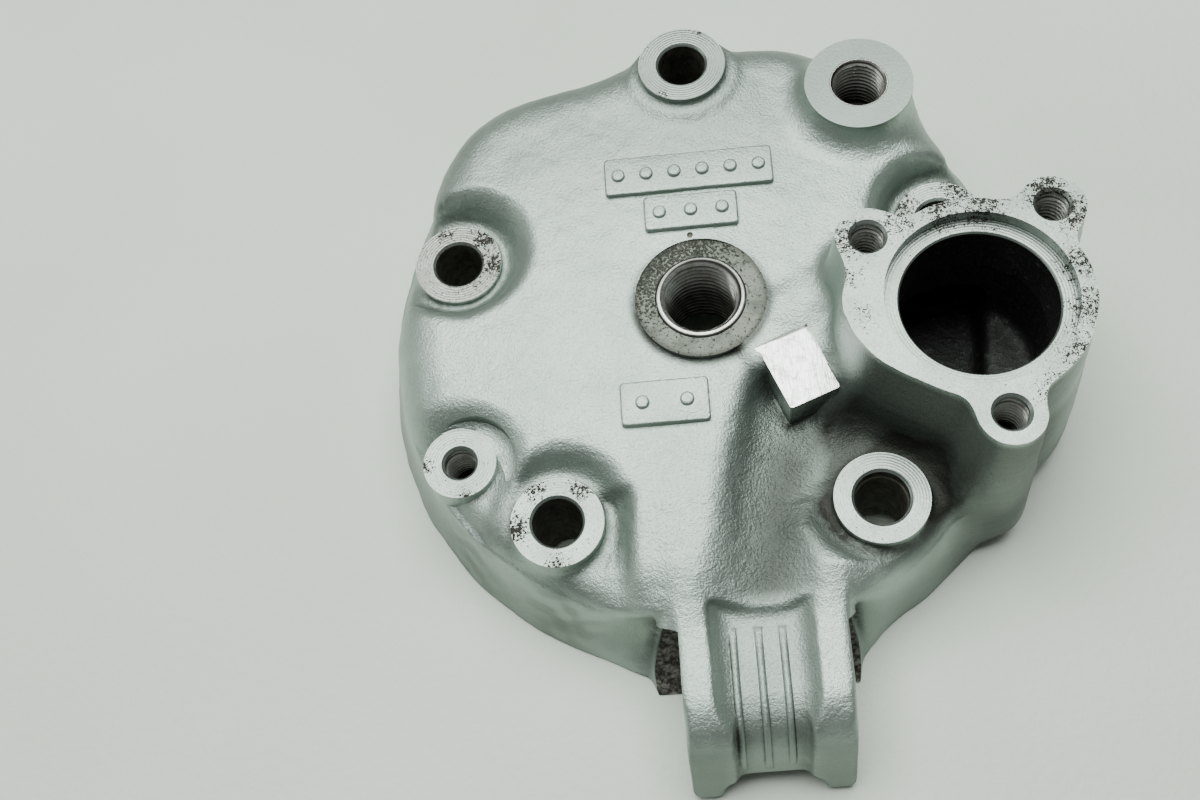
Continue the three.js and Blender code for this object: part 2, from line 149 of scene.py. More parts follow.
def part_of_grid(low, high):
    """Index of the grid between two corners, with its coordinates ready to broadcast."""
    index = tuple(slice(*np.searchsorted(axis, pair)) for axis, pair in zip(AXES, zip(low, high)))
    x, y, z = (axis[cut] for axis, cut in zip(AXES, index))
    return index, x[:, None, None], y[None, :, None], z[None, None, :]


EVERYWHERE = ((-99, -99, -99), (99, 99, 99))
field = np.full([len(axis) for axis in AXES], 50, dtype=np.float32)


def add(shape, blend, low=EVERYWHERE[0], high=EVERYWHERE[1]):
    """Joins a shape to the field inside a box, with a fillet."""
    index, x, y, z = part_of_grid(low, high)
    field[index] = smooth_min(field[index], shape(x, y, z), blend)


def cut(shape, blend, low=EVERYWHERE[0], high=EVERYWHERE[1]):
    """Takes a shape away from the field inside a box, with a fillet."""
    index, x, y, z = part_of_grid(low, high)
    field[index] = smooth_max(field[index], -shape(x, y, z), blend)


def around(place, reach, z_low=-3, z_high=60):
    """Corners of a box around a place in plan."""
    return (place[0] - reach, place[1] - reach, z_low), (place[0] + reach, place[1] + reach, z_high)


def reach_from(place, x, y):
    """Distance in plan from a place."""
    return np.hypot(x - place[0], y - place[1])


def bell(offset, width):
    """1 in the middle, falling softly to nothing over a few widths."""
    return np.exp(-((offset / width) ** 2))


def ease(value, start, end):
    """Smooth step from 0 at the start to 1 at the end."""
    t = np.clip((value - start) / (end - start), 0, 1)
    return t * t * (3 - 2 * t)


def roof_height(x, y):
    return ROOF["height"] + ROOF["lean"] * y - ROOF["dome"] * (x * x + y * y)


# Where the wall swells out or draws in: direction in degrees, millimetres, width in degrees.
WALL_SWELLS = ((135, 4.2, 15), (109, -1.6, 10), (67, 2.4, 10), (-60, 1.0, 14))


def wall_distance(x, y, z):
    """Distance out from the drafted wall of the round body."""
    angle = np.degrees(np.arctan2(y, x))
    swell = sum(size * bell((angle - middle + 180) % 360 - 180, width)
                for middle, size, width in WALL_SWELLS)
    drafted = WALL["radius"] - WALL["draft"] * z
    return (np.hypot(x, y) - drafted - swell * ease(z, 0, POCKET_FLOOR + 0.5)) * WALL["cosine"]


def beyond_wall(x, y, z):
    return -wall_distance(x, y, z)


def roof(x, y, z):
    """Everything under the leaning, slightly domed roof, which swells up to the top boss."""
    mound = ROOF["mound"] * bell(reach_from(STUDS[TOP], x, y), ROOF["mound_reach"])
    return z - roof_height(x, y) - mound


def bracket_end(x, z):
    """Where the sloping, slightly skew end face of the bracket is along Y."""
    slope = (BRACKET["end_top"] - BRACKET["end_bottom"]) / (BRACKET["top"] - BRACKET["bottom"])
    skew = 0.02 * (x - BRACKET_MIDDLE)
    return BRACKET["end_bottom"] + slope * (z - BRACKET["bottom"]) + skew


def bracket(x, y, z):
    """Stay bracket: a slab with small edge rounds, a large round along its top end."""
    half = (BRACKET["right"] - BRACKET["left"]) / 2
    side = smooth_max(np.abs(x - BRACKET_MIDDLE) - half, y + 30, 2)
    profile = smooth_max((bracket_end(x, z) - y) * END_COSINE, z - BRACKET["top"], END_ROUND)
    return smooth_max(smooth_max(profile, side, 1.5), BRACKET["bottom"] - z, 1.5)


def bracket_root(x, y, z):
    """The casting swells out on both sides to meet the bracket."""
    left = np.interp(y, (-90, -72, -66, -60, -54, -44), (-7, -8.5, -13.6, -14.6, -17.5, -27))
    right = np.interp(y, (-90, -72, -66, -58, -52, -44), (19, 19.8, 21.6, 22.6, 25, 34))
    sides = np.maximum(left - x, x - right) - 0.07 * (18 - z)
    lean = 0.42 * np.maximum(BRACKET["left"] - x, 0) + 0.42 * np.maximum(x - BRACKET["right"], 0)
    return smooth_max(smooth_max(sides, -72 - y, 3), z - 20.2 + lean, 5)


def root_recess(x, y, z):
    """As-cast hollow on both flanks, so that a bolt head clears the body beside the bracket."""
    reach = np.hypot(y - STAY_HOLE["y"], z - STAY_HOLE["z"]) - STAY_HOLE["face"] - 1.2
    narrower = 0.055 * (y + 61) ** 2
    beyond = np.minimum(x + 13.4, 23.0 - x) - narrower
    return smooth_max(reach, beyond, 2)


def cone_pocket(place, wall, floor=POCKET_FLOOR):
    """Pocket round a boss, steeper on one side.

    `wall` holds its radius at the floor, its mean slope, the slope added and in which direction.
    """
    radius, mean, more, direction = wall
    toward = np.array(polar(1, direction))

    def shape(x, y, z):
        dx = x - place[0]
        dy = y - place[1]
        reach = np.hypot(dx, dy)
        side = (dx * toward[0] + dy * toward[1]) / np.maximum(reach, 0.1)
        slope = mean + more * side
        edge = radius + slope * np.maximum(z - floor, -1)
        return smooth_max((reach - edge) / np.sqrt(1 + slope * slope), floor - z, 2.0)

    return shape


def lower_left_trough(x, y, z):
    """The lower left pocket runs out to the wall beside the ridge that carries the bracket."""
    right = x - (-17 + 0.45 * (z - 21))
    return smooth_max(smooth_max(right, -x - 33, 3), smooth_max(y + 35, 20.6 - z, 2), 2)


VALLEY_Y = (-60, -53, -46, -39, -32, -23, -13, -9)
VALLEY_FLOOR_LEFT = (1.6, 2.0, 3.2, 4.6, 6.2, 8.0, 9.6, 10)
VALLEY_TOP_LEFT = (-3.0, -2.8, -1, 0.6, 1.9, 4.4, 8.4, 9.4)
VALLEY_RIGHT_Y = (-60, -52, -47, -42, -37, -34, -30, -9)
VALLEY_FLOOR_RIGHT = (11.6, 11.6, 11.6, 11.6, 14.5, 19, 30, 30)
VALLEY_TOP_RIGHT = (14.6, 14.6, 14.8, 14.4, 18, 26, 40, 40)


def valley(x, y, z):
    """Scoop from the filed pad down into the channel of the bracket, with leaning banks."""
    floor = VALLEY_LEVEL + 0.5 * ease(y, -50, -20)
    top = np.maximum(roof_height(0, y), BRACKET["top"])
    rise = (z - floor) / (top - floor)
    left_floor = np.interp(y, VALLEY_Y, VALLEY_FLOOR_LEFT)
    left_top = np.interp(y, VALLEY_Y, VALLEY_TOP_LEFT)
    right_floor = np.interp(y, VALLEY_RIGHT_Y, VALLEY_FLOOR_RIGHT)
    right_top = np.interp(y, VALLEY_RIGHT_Y, VALLEY_TOP_RIGHT)
    left = (left_floor + (left_top - left_floor) * rise - x) * BANK_COSINE
    right = (x - right_floor - (right_top - right_floor) * rise) * BANK_COSINE
    ends = smooth_max(y + 12.2, -56 - y, 1)
    banks = smooth_max(smooth_max(left, right, 1), ends, 0.8)
    return smooth_max(banks, floor - z, 4.5)


def channel(x, y, z):
    """Channel along the top of the bracket that runs on, shallower, down its end face."""
    below = np.clip(BRACKET["top"] - z, 0, BRACKET["top"] - CHANNEL_FLOOR)
    left = (BRACKET["left"] + 5.0 - x + 0.9 * below) * 0.75
    right = (x - BRACKET["right"] + 5.4 + 0.7 * below) * 0.8
    start = (y - CHANNEL_START + 0.5 * below) * 0.9
    sides = smooth_max(np.maximum(left, right), start, 1.0)
    end = (bracket_end(x, z) + CHANNEL_END_DEPTH - y) * END_COSINE
    bed = smooth_max(end, z - CHANNEL_FLOOR, END_ROUND)
    return smooth_max(sides, -bed, 2.0)


def side_valley(x, y, z):
    """The low ground between the pad, the thermostat housing and the lower right boss."""
    floor = 20.4 - 0.02 * (y + 20)
    left = 17 - x
    head = (y + 21.5 - 1.1 * (z - floor)) * 0.67
    right = np.hypot(x - 27, y + 28) - (17 + 0.8 * (z - floor))
    return smooth_max(smooth_max(smooth_max(left, head, 2), right, 3), floor - z, 5)


def column(x0, y0, radius, top, edge=0.8, draft=0.03):
    """Upright drafted column with a rounded top edge."""
    def shape(x, y, z):
        side = reach_from((x0, y0), x, y) - radius - draft * (top - z)
        return smooth_max(side, z - top, edge)

    return shape


def housing(x, y, z):
    """Thermostat housing: round body, wider flank towards the plug and three screw lobes."""
    plan = reach_from(COVER_PLACE, x, y) - COVER["radius"]
    plan = smooth_min(plan, reach_from(COVER_SHOULDER, x, y) - COVER_SHOULDER[2], 5)
    for sx, sy in COVER_SCREWS:
        plan = smooth_min(plan, reach_from((sx, sy), x, y) - COVER_SCREW["lobe"], 4.5)
    side = plan - COVER["draft"] * (COVER["z"] - z)
    return smooth_max(np.maximum(side, z - COVER["z"] - 1.5), COVER["foot"] - z, 4)


def pad_axes(x, y):
    """Distances from the middle of the filed pad along its own width and length."""
    c, s = math.cos(PAD["turn"]), math.sin(PAD["turn"])
    return (x - PAD["x"]) * c + (y - PAD["y"]) * s, -(x - PAD["x"]) * s + (y - PAD["y"]) * c


def pad_shoulder(x, y, z):
    """The roof rises to meet the pad on its upper side and runs on to the housing."""
    u, v = pad_axes(x, y)
    level = PAD["top"] - 0.45 - 0.09 * np.maximum(u, 0)
    return smooth_max(smooth_max(np.abs(u - 1.5) - 7.5, np.abs(v - 8) - 5.5, 4), z - level, 2)


def saddle(x, y, z):
    """Level ground between the pad and the housing, with a leaning bank on its lower side."""
    u, v = pad_axes(x, y)
    level = PAD["top"] - 0.6 - 0.1 * np.maximum(u, 0)
    bank = (np.abs(v - 1) - 6 - 0.6 * np.clip(level - z, -2, 12)) * BANK_COSINE
    return smooth_max(smooth_max(np.abs(u - 7.5) - 6.5, bank, 3), z - level, 2.5)


def pad_core(x, y, z):
    """Ground that carries the crisp block of the pad."""
    u, v = pad_axes(x, y)
    sides = smooth_max(np.abs(u) - PAD["width"] / 2, np.abs(v) - PAD["length"] / 2, 0.5)
    return np.maximum(sides + 0.4, z - PAD["top"] + 2)


def water_jacket(x, y, z):
    """Water space round the chamber, with solid columns round the studs and the small boss."""
    radius = np.hypot(x, y)
    outer = radius - WATER["outer"]
    inner = WATER["inner"] + (18 - z) * 1.45 - radius
    ceiling = z - WATER["top"] + 0.03 * outer
    space = smooth_max(smooth_max(outer, inner, 3), smooth_max(WATER["bottom"] - z, ceiling, 2), 3)
    for x0, y0 in STUDS + [SMALL_PLACE]:
        space = smooth_max(space, WATER["column"] - reach_from((x0, y0), x, y), 3)
    under_valley = smooth_max(np.abs(x - 12) - 20, y + 9, 3)
    return smooth_max(space, np.minimum(-under_valley, 0) + (z - 13.5), 3)


def coolant_slots(x, y, z):
    """Curved slots through the gasket face, one between each two studs."""
    radius = np.hypot(x, y)
    angle = np.degrees(np.arctan2(y, x))
    from_middle = np.abs((angle - 18) % 72 - 36)
    ends = (from_middle - SLOT["half_angle"]) * math.radians(SLOT["circle"])
    plan = smooth_max(np.abs(radius - SLOT["circle"]) - SLOT["half_width"], ends, 3)
    return smooth_max(plan, z - SLOT["depth"], 0.5)


def thermostat_way(x, y, z):
    """The cast room under the thermostat and its opening to the water space."""
    radius = reach_from(COVER_PLACE, x, y)
    side = radius - COVER_ROOM["radius"] + 0.06 * np.abs(z - 20)
    room = smooth_max(side, np.maximum(COVER_BORE["floor"] - z, z - COVER_ROOM["top"]), 3)
    way = smooth_max(np.abs(x - 36) - 11, np.abs(z - 13) - 6, 3)
    way = smooth_max(np.abs(y - COVER["y"]) - 6.5, way, 3)
    return smooth_min(room, way, 2)


def arch(x, y, z):
    """Hollow under the end of the bracket."""
    sides = smooth_max(np.abs(x - BRACKET_MIDDLE) - ARCH["half_width"], y - ARCH["start"], 2)
    return smooth_max(sides, z - ARCH["height"], 4)


def small_pocket(x, y, z):
    """Soft hollow round the small boss, open towards the wall and the lower left boss."""
    reach = np.hypot(x - SMALL_BOSS["x"] + 1, y - SMALL_BOSS["y"] + 4)
    return smooth_max((reach - 8.0 - 0.9 * (z - 20)) * 0.75, 20 - z, 2)


POCKETS = {
    LEFT: (9.4, 0.3, 0.25, -25),
    LOWER_LEFT: (9.6, 0.3, 0.25, 45),
    LOWER_RIGHT: (9.8, 0.5, 0.3, 120),
    RIGHT: (9.4, 0.1, 0.25, 200),
}


def cut_pockets():
    for index, wall in POCKETS.items():
        cut(cone_pocket(STUDS[index], wall), 3.0, *around(STUDS[index], 24, 16))
    cut(lower_left_trough, 3.0, (-44, -70, 12), (-4, -24, 46))
    cut(small_pocket, 2.0, *around(SMALL_PLACE, 20, 16))


def build_field():
    """The cast shape in the order of its parts: body, bracket, hollows, housing, bosses, water."""
    add(roof, 0.1)
    cut_pockets()
    cut(beyond_wall, 8.5)
    add(bracket_root, 6.0, (-45, -76, -3), (50, -30, 40))
    cut(root_recess, 2.5, (-40, -90, -3), (50, -48, 34))
    add(bracket, 2.0, (-20, -90, -3), (32, -30, 40))
    cut_pockets()
    cut(valley, 3.0, (-14, -90, 12), (40, -4, 46))
    cut(channel, 0.5, (-14, -90, -3), (26, -48, 46))
    cut(side_valley, 5.0, (8, -48, 12), (50, 2, 46))
    add(housing, 4.5, (12, -46, -3), (74, 22, 46))
    add(column(SENDER["x"], SENDER["y"], SENDER["radius"] - 0.2, SENDER["z"] - 0.5, 0.3), 6.0,
        *around(SENDER_PLACE, 24))
    add(column(*STUDS[TOP], 9.3, RAISED_STUD_TOP - 2.8, 1.2), 3.0, *around(STUDS[TOP], 18))
    add(pad_shoulder, 4.0, (-4, -26, 6), (36, 14, 46))
    add(saddle, 4.0, (6, -34, 8), (46, 6, 46))
    add(pad_core, 0.5, (4, -30, 8), (28, -2, 46))
    for (x0, y0), top in zip(STUDS, STUD_HEIGHTS):
        add(column(x0, y0, STUD_FACE - 0.2, top - 0.4, 0.2), 1.2, *around((x0, y0), 13))
    add(column(0, 0, PLUG_SEAT["radius"] - 0.2, PLUG_SEAT["z"] - 0.3, 0.2), 1.0, *around((0, 0), 16, 20))
    cut(water_jacket, 1.5)
    cut(coolant_slots, 1.0, (-50, -50, -3), (50, 50, 12))
    cut(thermostat_way, 2.0, (18, -34, 2), (66, 12, 46))
    cut(arch, 1.5, (-10, -90, -3), (22, -50, 10))
    index, x, y, z = part_of_grid(*EVERYWHERE)
    field[index] = np.maximum(field[index], -1.4 - z)


# ---------------------------------------------------------------- mesh tools
CAST, MACHINED, CORRODED, SEAT, BORE, FILED, INSIDE = range(7)
skins = []  # the casting's materials, in the order of these slots


def values_of(items, name, width=1, kind=float):
    """One property of all points, faces, corners or edges of a mesh, as an array."""
    values = np.zeros(len(items) * width, kind)
    items.foreach_get(name, values)
    return values.reshape(-1, width) if width > 1 else values


def turn_angles(segments):
    return np.arange(segments) * 2 * math.pi / segments


def mesh_object(name, points, faces, slot=0):
    """An object from points in millimetres and faces of any size."""
    mesh = bpy.data.meshes.new(name)
    mesh.from_pydata([tuple(p) for p in np.asarray(points, float) * MM], [], [tuple(f) for f in faces])
    mesh.update()
    for skin in skins:
        mesh.materials.append(skin)
    mesh.polygons.foreach_set("material_index", np.full(len(mesh.polygons), slot, np.int32))
    thing = bpy.data.objects.new(name, mesh)
    bpy.context.scene.collection.objects.link(thing)
    return thing


def field_values(points):
    """The field at points in millimetres, between its grid points."""
    at = [np.clip((points[:, i] - AXES[i][0]) / VOXEL, 0, len(AXES[i]) - 1.001) for i in range(3)]
    base = [a.astype(int) for a in at]
    part = [a - b for a, b in zip(at, base)]
    total = np.zeros(len(points))
    for corner in range(8):
        step = [(corner >> i) & 1 for i in range(3)]
        weight = np.prod([part[i] if step[i] else 1 - part[i] for i in range(3)], axis=0)
        total += weight * field[base[0] + step[0], base[1] + step[1], base[2] + step[2]]
    return total


def waves(points, length, seed, count=14):
    """Smooth unevenness of about unit size whose bumps are about `length` millimetres across."""
    rng = np.random.default_rng(seed)
    total = np.zeros(len(points))
    for _ in range(count):
        direction = rng.normal(size=3)
        direction /= np.linalg.norm(direction)
        turns = 2 * math.pi / length / rng.uniform(0.6, 1.6)
        total += np.sin(points @ direction * turns + rng.uniform(0, 6.3))
    return total / math.sqrt(count / 2)


def rough_ground(points):
    """Share of coarse sand grain: most in the scoop and at the saddle, some on the ridge that carries the
    bracket.
    """
    x, y = points[:, 0], points[:, 1]
    scoop = bell(x - (10 + 0.12 * (y + 30)), 7) * ease(-y, 16, 24) * ease(y, -54, -48)
    neck = bell(x - 24, 5) * bell(y + 10, 5)
    ridge = bell(x + 6, 9) * ease(-y, 32, 46) * ease(y, -60, -52)
    return np.clip(scoop + neck + 0.4 * ridge, 0, 1)


def cast_body():
    """Meshes the field and gives its skin the slight unevenness of a sand casting."""
    grid = openvdb.FloatGrid()
    grid.background = 50.0
    grid.copyFromArray(field)
    points, quads = grid.convertToQuads(0.0)
    points = points.astype(np.float64) * VOXEL + np.array([axis[0] for axis in AXES])
    body = mesh_object("casting", points, quads)
    normals = values_of(body.data.vertices, "normal", 3)
    coarse = rough_ground(points)
    uneven = 1 - 0.6 * ease(-points[:, 1], 50, 58)
    height = uneven * (0.06 * waves(points, 11, 3) + 0.022 * waves(points, 3.2, 5))
    height += 0.015 * coarse * waves(points, 1.7, 8)
    moved = points + normals * height[:, None]
    body.data.vertices.foreach_set("co", (moved * MM).ravel())
    body.data.update()
    return body


def turned(name, profile, centre=(0, 0), segments=96, slots=None, axis="z"):
    """Closed body of revolution from [radius, height] points that start and end on the axis."""
    angles = turn_angles(segments)
    points = [(0, 0, profile[0][1])]
    rings = []
    for radius, height in profile[1:-1]:
        rings.append(len(points))
        points += [(radius * math.cos(a), radius * math.sin(a), height) for a in angles]
    last = len(points)
    points.append((0, 0, profile[-1][1]))
    faces, marks = [], []
    if slots is None:
        slots = [BORE if a[0] == b[0] else MACHINED for a, b in zip(profile, profile[1:])]
    for k in range(segments):
        n = (k + 1) % segments
        faces.append((0, rings[0] + n, rings[0] + k))
        marks.append(slots[0])
        for step, (a, b) in enumerate(zip(rings, rings[1:])):
            faces.append((a + k, a + n, b + n, b + k))
            marks.append(slots[step + 1])
        faces.append((last, rings[-1] + k, rings[-1] + n))
        marks.append(slots[-1])
    points = np.array(points)
    if axis == "x":
        points = points[:, [2, 0, 1]] + np.array([0, centre[0], centre[1]])
    else:
        points = points + np.array([centre[0], centre[1], 0])
    thing = mesh_object(name, points, faces)
    thing.data.polygons.foreach_set("material_index", np.array(marks, np.int32))
    return facing_out(thing)


def ring_faces(rings, count, closed=False):
    """Faces between rings of `count` points that follow each other, ended by caps unless closed."""
    faces = []
    for ring in range(rings if closed else rings - 1):
        a = ring * count
        b = (ring + 1) % rings * count
        for k in range(count):
            n = (k + 1) % count
            faces.append((a + k, a + n, b + n, b + k))
    if not closed:
        faces.append(tuple(range(count))[::-1])
        faces.append(tuple((rings - 1) * count + k for k in range(count)))
    return faces


def facing_out(thing):
    """Turns a closed mesh right side out when its signed volume is negative."""
    mesh = thing.data
    mesh.calc_loop_triangles()
    corners = np.array([mesh.vertices[i].co for t in mesh.loop_triangles for i in t.vertices])
    corners = corners.reshape(-1, 3, 3)
    volume = np.einsum("ij,ij->i", corners[:, 0], np.cross(corners[:, 1], corners[:, 2])).sum()
    if volume < 0:
        mesh.flip_normals()
    return thing


def slab(name, low, high, slot=MACHINED):
    """Plain box between two corners."""
    corners = [(x, y, z) for x in (low[0], high[0]) for y in (low[1], high[1]) for z in (low[2], high[2])]
    faces = [(0, 1, 3, 2), (4, 6, 7, 5), (0, 4, 5, 1), (2, 3, 7, 6), (0, 2, 6, 4), (1, 5, 7, 3)]
    return facing_out(mesh_object(name, corners, faces, slot))


def joined(things, name):
    """One object from several separate closed meshes."""
    with bpy.context.temp_override(active_object=things[0], selected_editable_objects=things):
        bpy.ops.object.join()
    things[0].name = name
    return things[0]


def combine(body, other, operation):
    """Applies one boolean to the body and removes the other object."""
    modifier = body.modifiers.new("combine", "BOOLEAN")
    modifier.operation = operation
    modifier.solver = "MANIFOLD"
    modifier.material_mode = "INDEX"
    modifier.object = other
    result = bpy.data.meshes.new_from_object(body.evaluated_get(bpy.context.evaluated_depsgraph_get()))
    body.modifiers.clear()
    if len(result.polygons) < 1000:
        raise RuntimeError(f"the {operation.lower()} with {other.name} gave no solid")
    body.data = result
    bpy.data.objects.remove(other)


def rounded_outline(width, length, radius, steps=5):
    """Rectangle round its middle with round corners, anticlockwise."""
    points = []
    for corner, (sx, sy) in enumerate(((1, 1), (-1, 1), (-1, -1), (1, -1))):
        for step in range(steps + 1):
            angle = math.pi / 2 * (corner + step / steps)
            points.append((sx * (width / 2 - radius) + radius * math.cos(angle),
                           sy * (length / 2 - radius) + radius * math.sin(angle)))
    return np.array(points)


def raised_form(name, outline, height_at, proud, bevel, depth=2.5):
    """Raised patch with leaning, rounded edges that follows the surface below it."""
    rounds = 4
    lean = 0.06
    levels = [(-depth, 0.0), (proud - bevel, -lean)]
    levels += [(proud - bevel + bevel * math.sin(a), -lean - bevel * (1 - math.cos(a)))
               for a in np.linspace(0, math.pi / 2, rounds + 1)[1:]]
    middle = outline.mean(axis=0)
    size = np.ptp(outline, axis=0)
    points = []
    for height, grow in levels:
        ring = middle + (outline - middle) * (size + 2 * grow) / size
        points += [(x, y, height_at(x, y) + height) for x, y in ring]
    return facing_out(mesh_object(name, points, ring_faces(len(levels), len(outline))))


def plates():
    """Blank foundry plates."""
    forms = []
    for x0, y0, width, length, _ in PLATES:
        outline = rounded_outline(width, length, 0.7) + (x0, y0)
        forms.append(raised_form("plate", outline, roof_height, PLATE_PROUD, 0.35))
    return joined(forms, "plates")


def pips():
    """A row of plain round pips along the middle of each plate."""
    forms = []
    top = PLATE_PROUD + PIP["proud"]
    for x0, y0, width, _, count in PLATES:
        for index in range(count):
            place = x0 + (index - (count - 1) / 2) * width / count
            outline = rounded_outline(PIP["size"], PIP["size"], PIP["round"], 6) + (place, y0)
            forms.append(raised_form("pip", outline, roof_height, top, 0.45, 0.1))
    return joined(forms, "pips")


def surface_path(x0, start, steps, step):
    """Points in a YZ plane that follow the field's surface from a start, with their normals."""
    tiny = 0.3
    offsets = ((0, 0), (tiny, 0), (-tiny, 0), (0, tiny), (0, -tiny))
    y0, z0 = start
    path = []
    for _ in range(steps):
        for _ in range(4):
            around_it = [(x0, y0 + dy, z0 + dz) for dy, dz in offsets]
            here, north, south, above, below = field_values(np.array(around_it))
            slope = np.array([north - south, above - below]) / (2 * tiny)
            normal = slope / np.linalg.norm(slope)
            y0, z0 = np.array([y0, z0]) - normal * here / np.linalg.norm(slope)
        path.append((y0, z0, *normal))
        y0, z0 = y0 - normal[1] * step, z0 + normal[0] * step
    return path


def channel_ribs():
    """Low round ribs along the channel floor that run over its end and down the end face."""
    half, height, sunk = RIB["half_width"], RIB["height"], RIB["sunk"]
    section = [(-half, -sunk), (half, -sunk)]
    section += [(half * math.cos(a), height * math.sin(a)) for a in np.linspace(0, math.pi, 7)]
    forms = []
    for x0 in RIBS:
        path = surface_path(x0, (RIB["start"], CHANNEL_FLOOR), 40, 0.75)
        path = [point for point in path if point[1] > RIB["lowest"]]
        points = []
        for index, (y0, z0, ny, nz) in enumerate(path):
            fade = min(1, 0.1 + index / 6, 0.1 + (len(path) - 1 - index) / 6)
            for across, up in section:
                rise = up * fade if up > 0 else up
                points.append((x0 + across, y0 + rise * ny, z0 + rise * nz))
        forms.append(facing_out(mesh_object("rib", points, ring_faces(len(path), len(section)))))
    return joined(forms, "ribs")


# ---------------------------------------------------------------- machining
def stud_cutter(index):
    """Stud hole with its face, and a dowel recess or a small chamfer at the gasket face."""
    top = STUD_HEIGHTS[index]
    dowel, depth = DOWEL if index in DOWELLED else (STUD_HOLE + 0.4, 0.4)
    reach = STUD_FACE + (0.7 if index == RIGHT else 0.05)
    mouth = [(STUD_HOLE + 0.45, top), (STUD_HOLE, top - 0.45)]
    if index == LOWER_RIGHT:
        step = STUD_HOLE + 0.3
        mouth = [(STUD_HOLE + 0.75, top), (step, top - 0.4), (step, top - 2.2), (STUD_HOLE, top - 2.5)]
    profile = [(0, top + 6), (reach, top + 6), (reach, top), *mouth]
    profile += [(STUD_HOLE, depth), (dowel, depth), (dowel, -6), (0, -6)]
    slots = [MACHINED] * 4 + [BORE] * (len(profile) - 7) + [MACHINED] * 2
    return turned("stud_cutter", profile, STUDS[index], slots=slots)


def plug_cutter():
    """Plug seat, the bore for the thread sleeve and its collar, and the combustion chamber."""
    body = 7.9
    collar = 8.1
    dome = CHAMBER["depth"] - CHAMBER["rise"]
    bowl = [(CHAMBER["squish"] * math.cos(a), CHAMBER["rise"] + dome * math.sin(a))
            for a in np.linspace(0, math.pi / 2, 14)]
    bowl = [point for point in bowl if point[0] > body + 0.3]
    seat = PLUG_SEAT["z"]
    step = seat - PLUG_COLLAR_DEPTH
    face = PLUG_SEAT["radius"] + 0.05
    profile = [(0, seat + 8), (face, seat + 8), (face, seat),
               (collar, seat), (collar, step), (body, step), (body, bowl[-1][1])]
    profile += bowl[::-1]
    profile += [(CHAMBER["bore"], 0), (CHAMBER["bore"], -6), (0, -6)]
    slots = [MACHINED] * 2 + [SEAT] + [MACHINED] * (len(profile) - 4)
    return turned("plug_cutter", profile, segments=128, slots=slots)


def cover_bore_cutter():
    """Mouth and throat of the thermostat bore, down into the cast room."""
    top, mouth, throat = COVER["z"], COVER_BORE["mouth"], COVER_BORE["throat"]
    seat = top - COVER_BORE["mouth_depth"]
    profile = [(0, top + 4), (mouth, top + 4), (mouth, seat), (throat + 0.3, seat), (throat, seat - 0.3),
               (throat, 29), (throat - 1.5, 26), (0, 26)]
    slots = [MACHINED] * 4 + [INSIDE] * 3
    return turned("cover_bore_cutter", profile, COVER_PLACE, 128, slots)


def m6_cutter(place, top, depth=COVER_SCREW["depth"], lid=M6_MOUTH + 0.01):
    """Countersunk mouth, then room for a thread sleeve below a short lip, then the drilled end."""
    lip, drill = 2.8, 2.6
    sleeve_end = top - 10.8
    profile = [(0, top + 6), (lid, top + 6), (lid, top), (M6_MOUTH, top), (lip, top - 0.5),
               (lip, top - 1.25), (M6_HOLE, top - 1.35), (M6_HOLE, sleeve_end), (drill, sleeve_end),
               (drill, top - depth), (0, top - depth - 0.6 * drill)]
    slots = [MACHINED] * 6 + [BORE] * 4
    return turned("m6_cutter", profile, place, 64, slots)


def sender_cutter():
    """Face and drilled hole of the temperature sender, with room for its thread sleeve."""
    hole, drill, depth = SENDER["hole"], 4.0, 20
    lid, top = SENDER["radius"] + 1, SENDER["z"]
    sleeve_end = top - 12.3
    profile = [(0, top + 6), (lid, top + 6), (lid, top), (hole, top), (hole, sleeve_end),
               (drill, sleeve_end), (drill, top - depth), (0, top - depth - 0.6 * drill)]
    slots = [MACHINED, MACHINED, CAST] + [BORE] * 4
    return turned("sender_cutter", profile, SENDER_PLACE, 96, slots)


def stay_cutter():
    """Cross bore, with a spot face on each flank that clears the casting beside the bracket."""
    left = BRACKET["left"] - 0.05
    right = BRACKET["right"] + 0.05
    radius, face = STAY_HOLE["radius"], STAY_HOLE["face"]
    chamfer, beyond = 0.4, 30
    profile = [(0, left - beyond), (face, left - beyond), (face, left), (radius + chamfer, left),
               (radius, left + chamfer), (radius, right - chamfer), (radius + chamfer, right),
               (face, right), (face, right + beyond), (0, right + beyond)]
    slots = [MACHINED, CORRODED, CAST] + [MACHINED] * 3 + [CAST, CORRODED, MACHINED]
    return turned("stay_cutter", profile, (STAY_HOLE["y"], STAY_HOLE["z"]), 96, slots, axis="x")


def punch_mark():
    """Small dimple in the roof above the plug seat."""
    top = roof_height(*PUNCH_MARK)
    profile = [(0, top + 3), (0.55, top + 3), (0.55, top - 0.2), (0, top - 0.7)]
    return turned("punch_mark", profile, PUNCH_MARK, 16, [BORE] * 3)


def relief_cutter():
    """Crescent round the small boss: a shallow cone with a crisp upper edge."""
    edge = SMALL_RELIEF["radius"]
    floor = SMALL_RELIEF["z"]
    foot = SMALL_BOSS["radius"] + 0.5
    profile = [(0, floor + 9), (edge, floor + 9), (edge, floor + SMALL_RELIEF["rise"]),
               (foot, floor), (0, floor)]
    return turned("relief_cutter", profile, RELIEF_PLACE, slots=[CAST] * 4)


def boss(place, radius, top, depth):
    """Round boss with a crisp edge, a little taller than the face that is cut on it."""
    profile = [(0, top - depth), (radius + 0.02 * depth, top - depth), (radius, top + 1), (0, top + 1)]
    return turned("boss", profile, place, 128, [CAST] * 3)


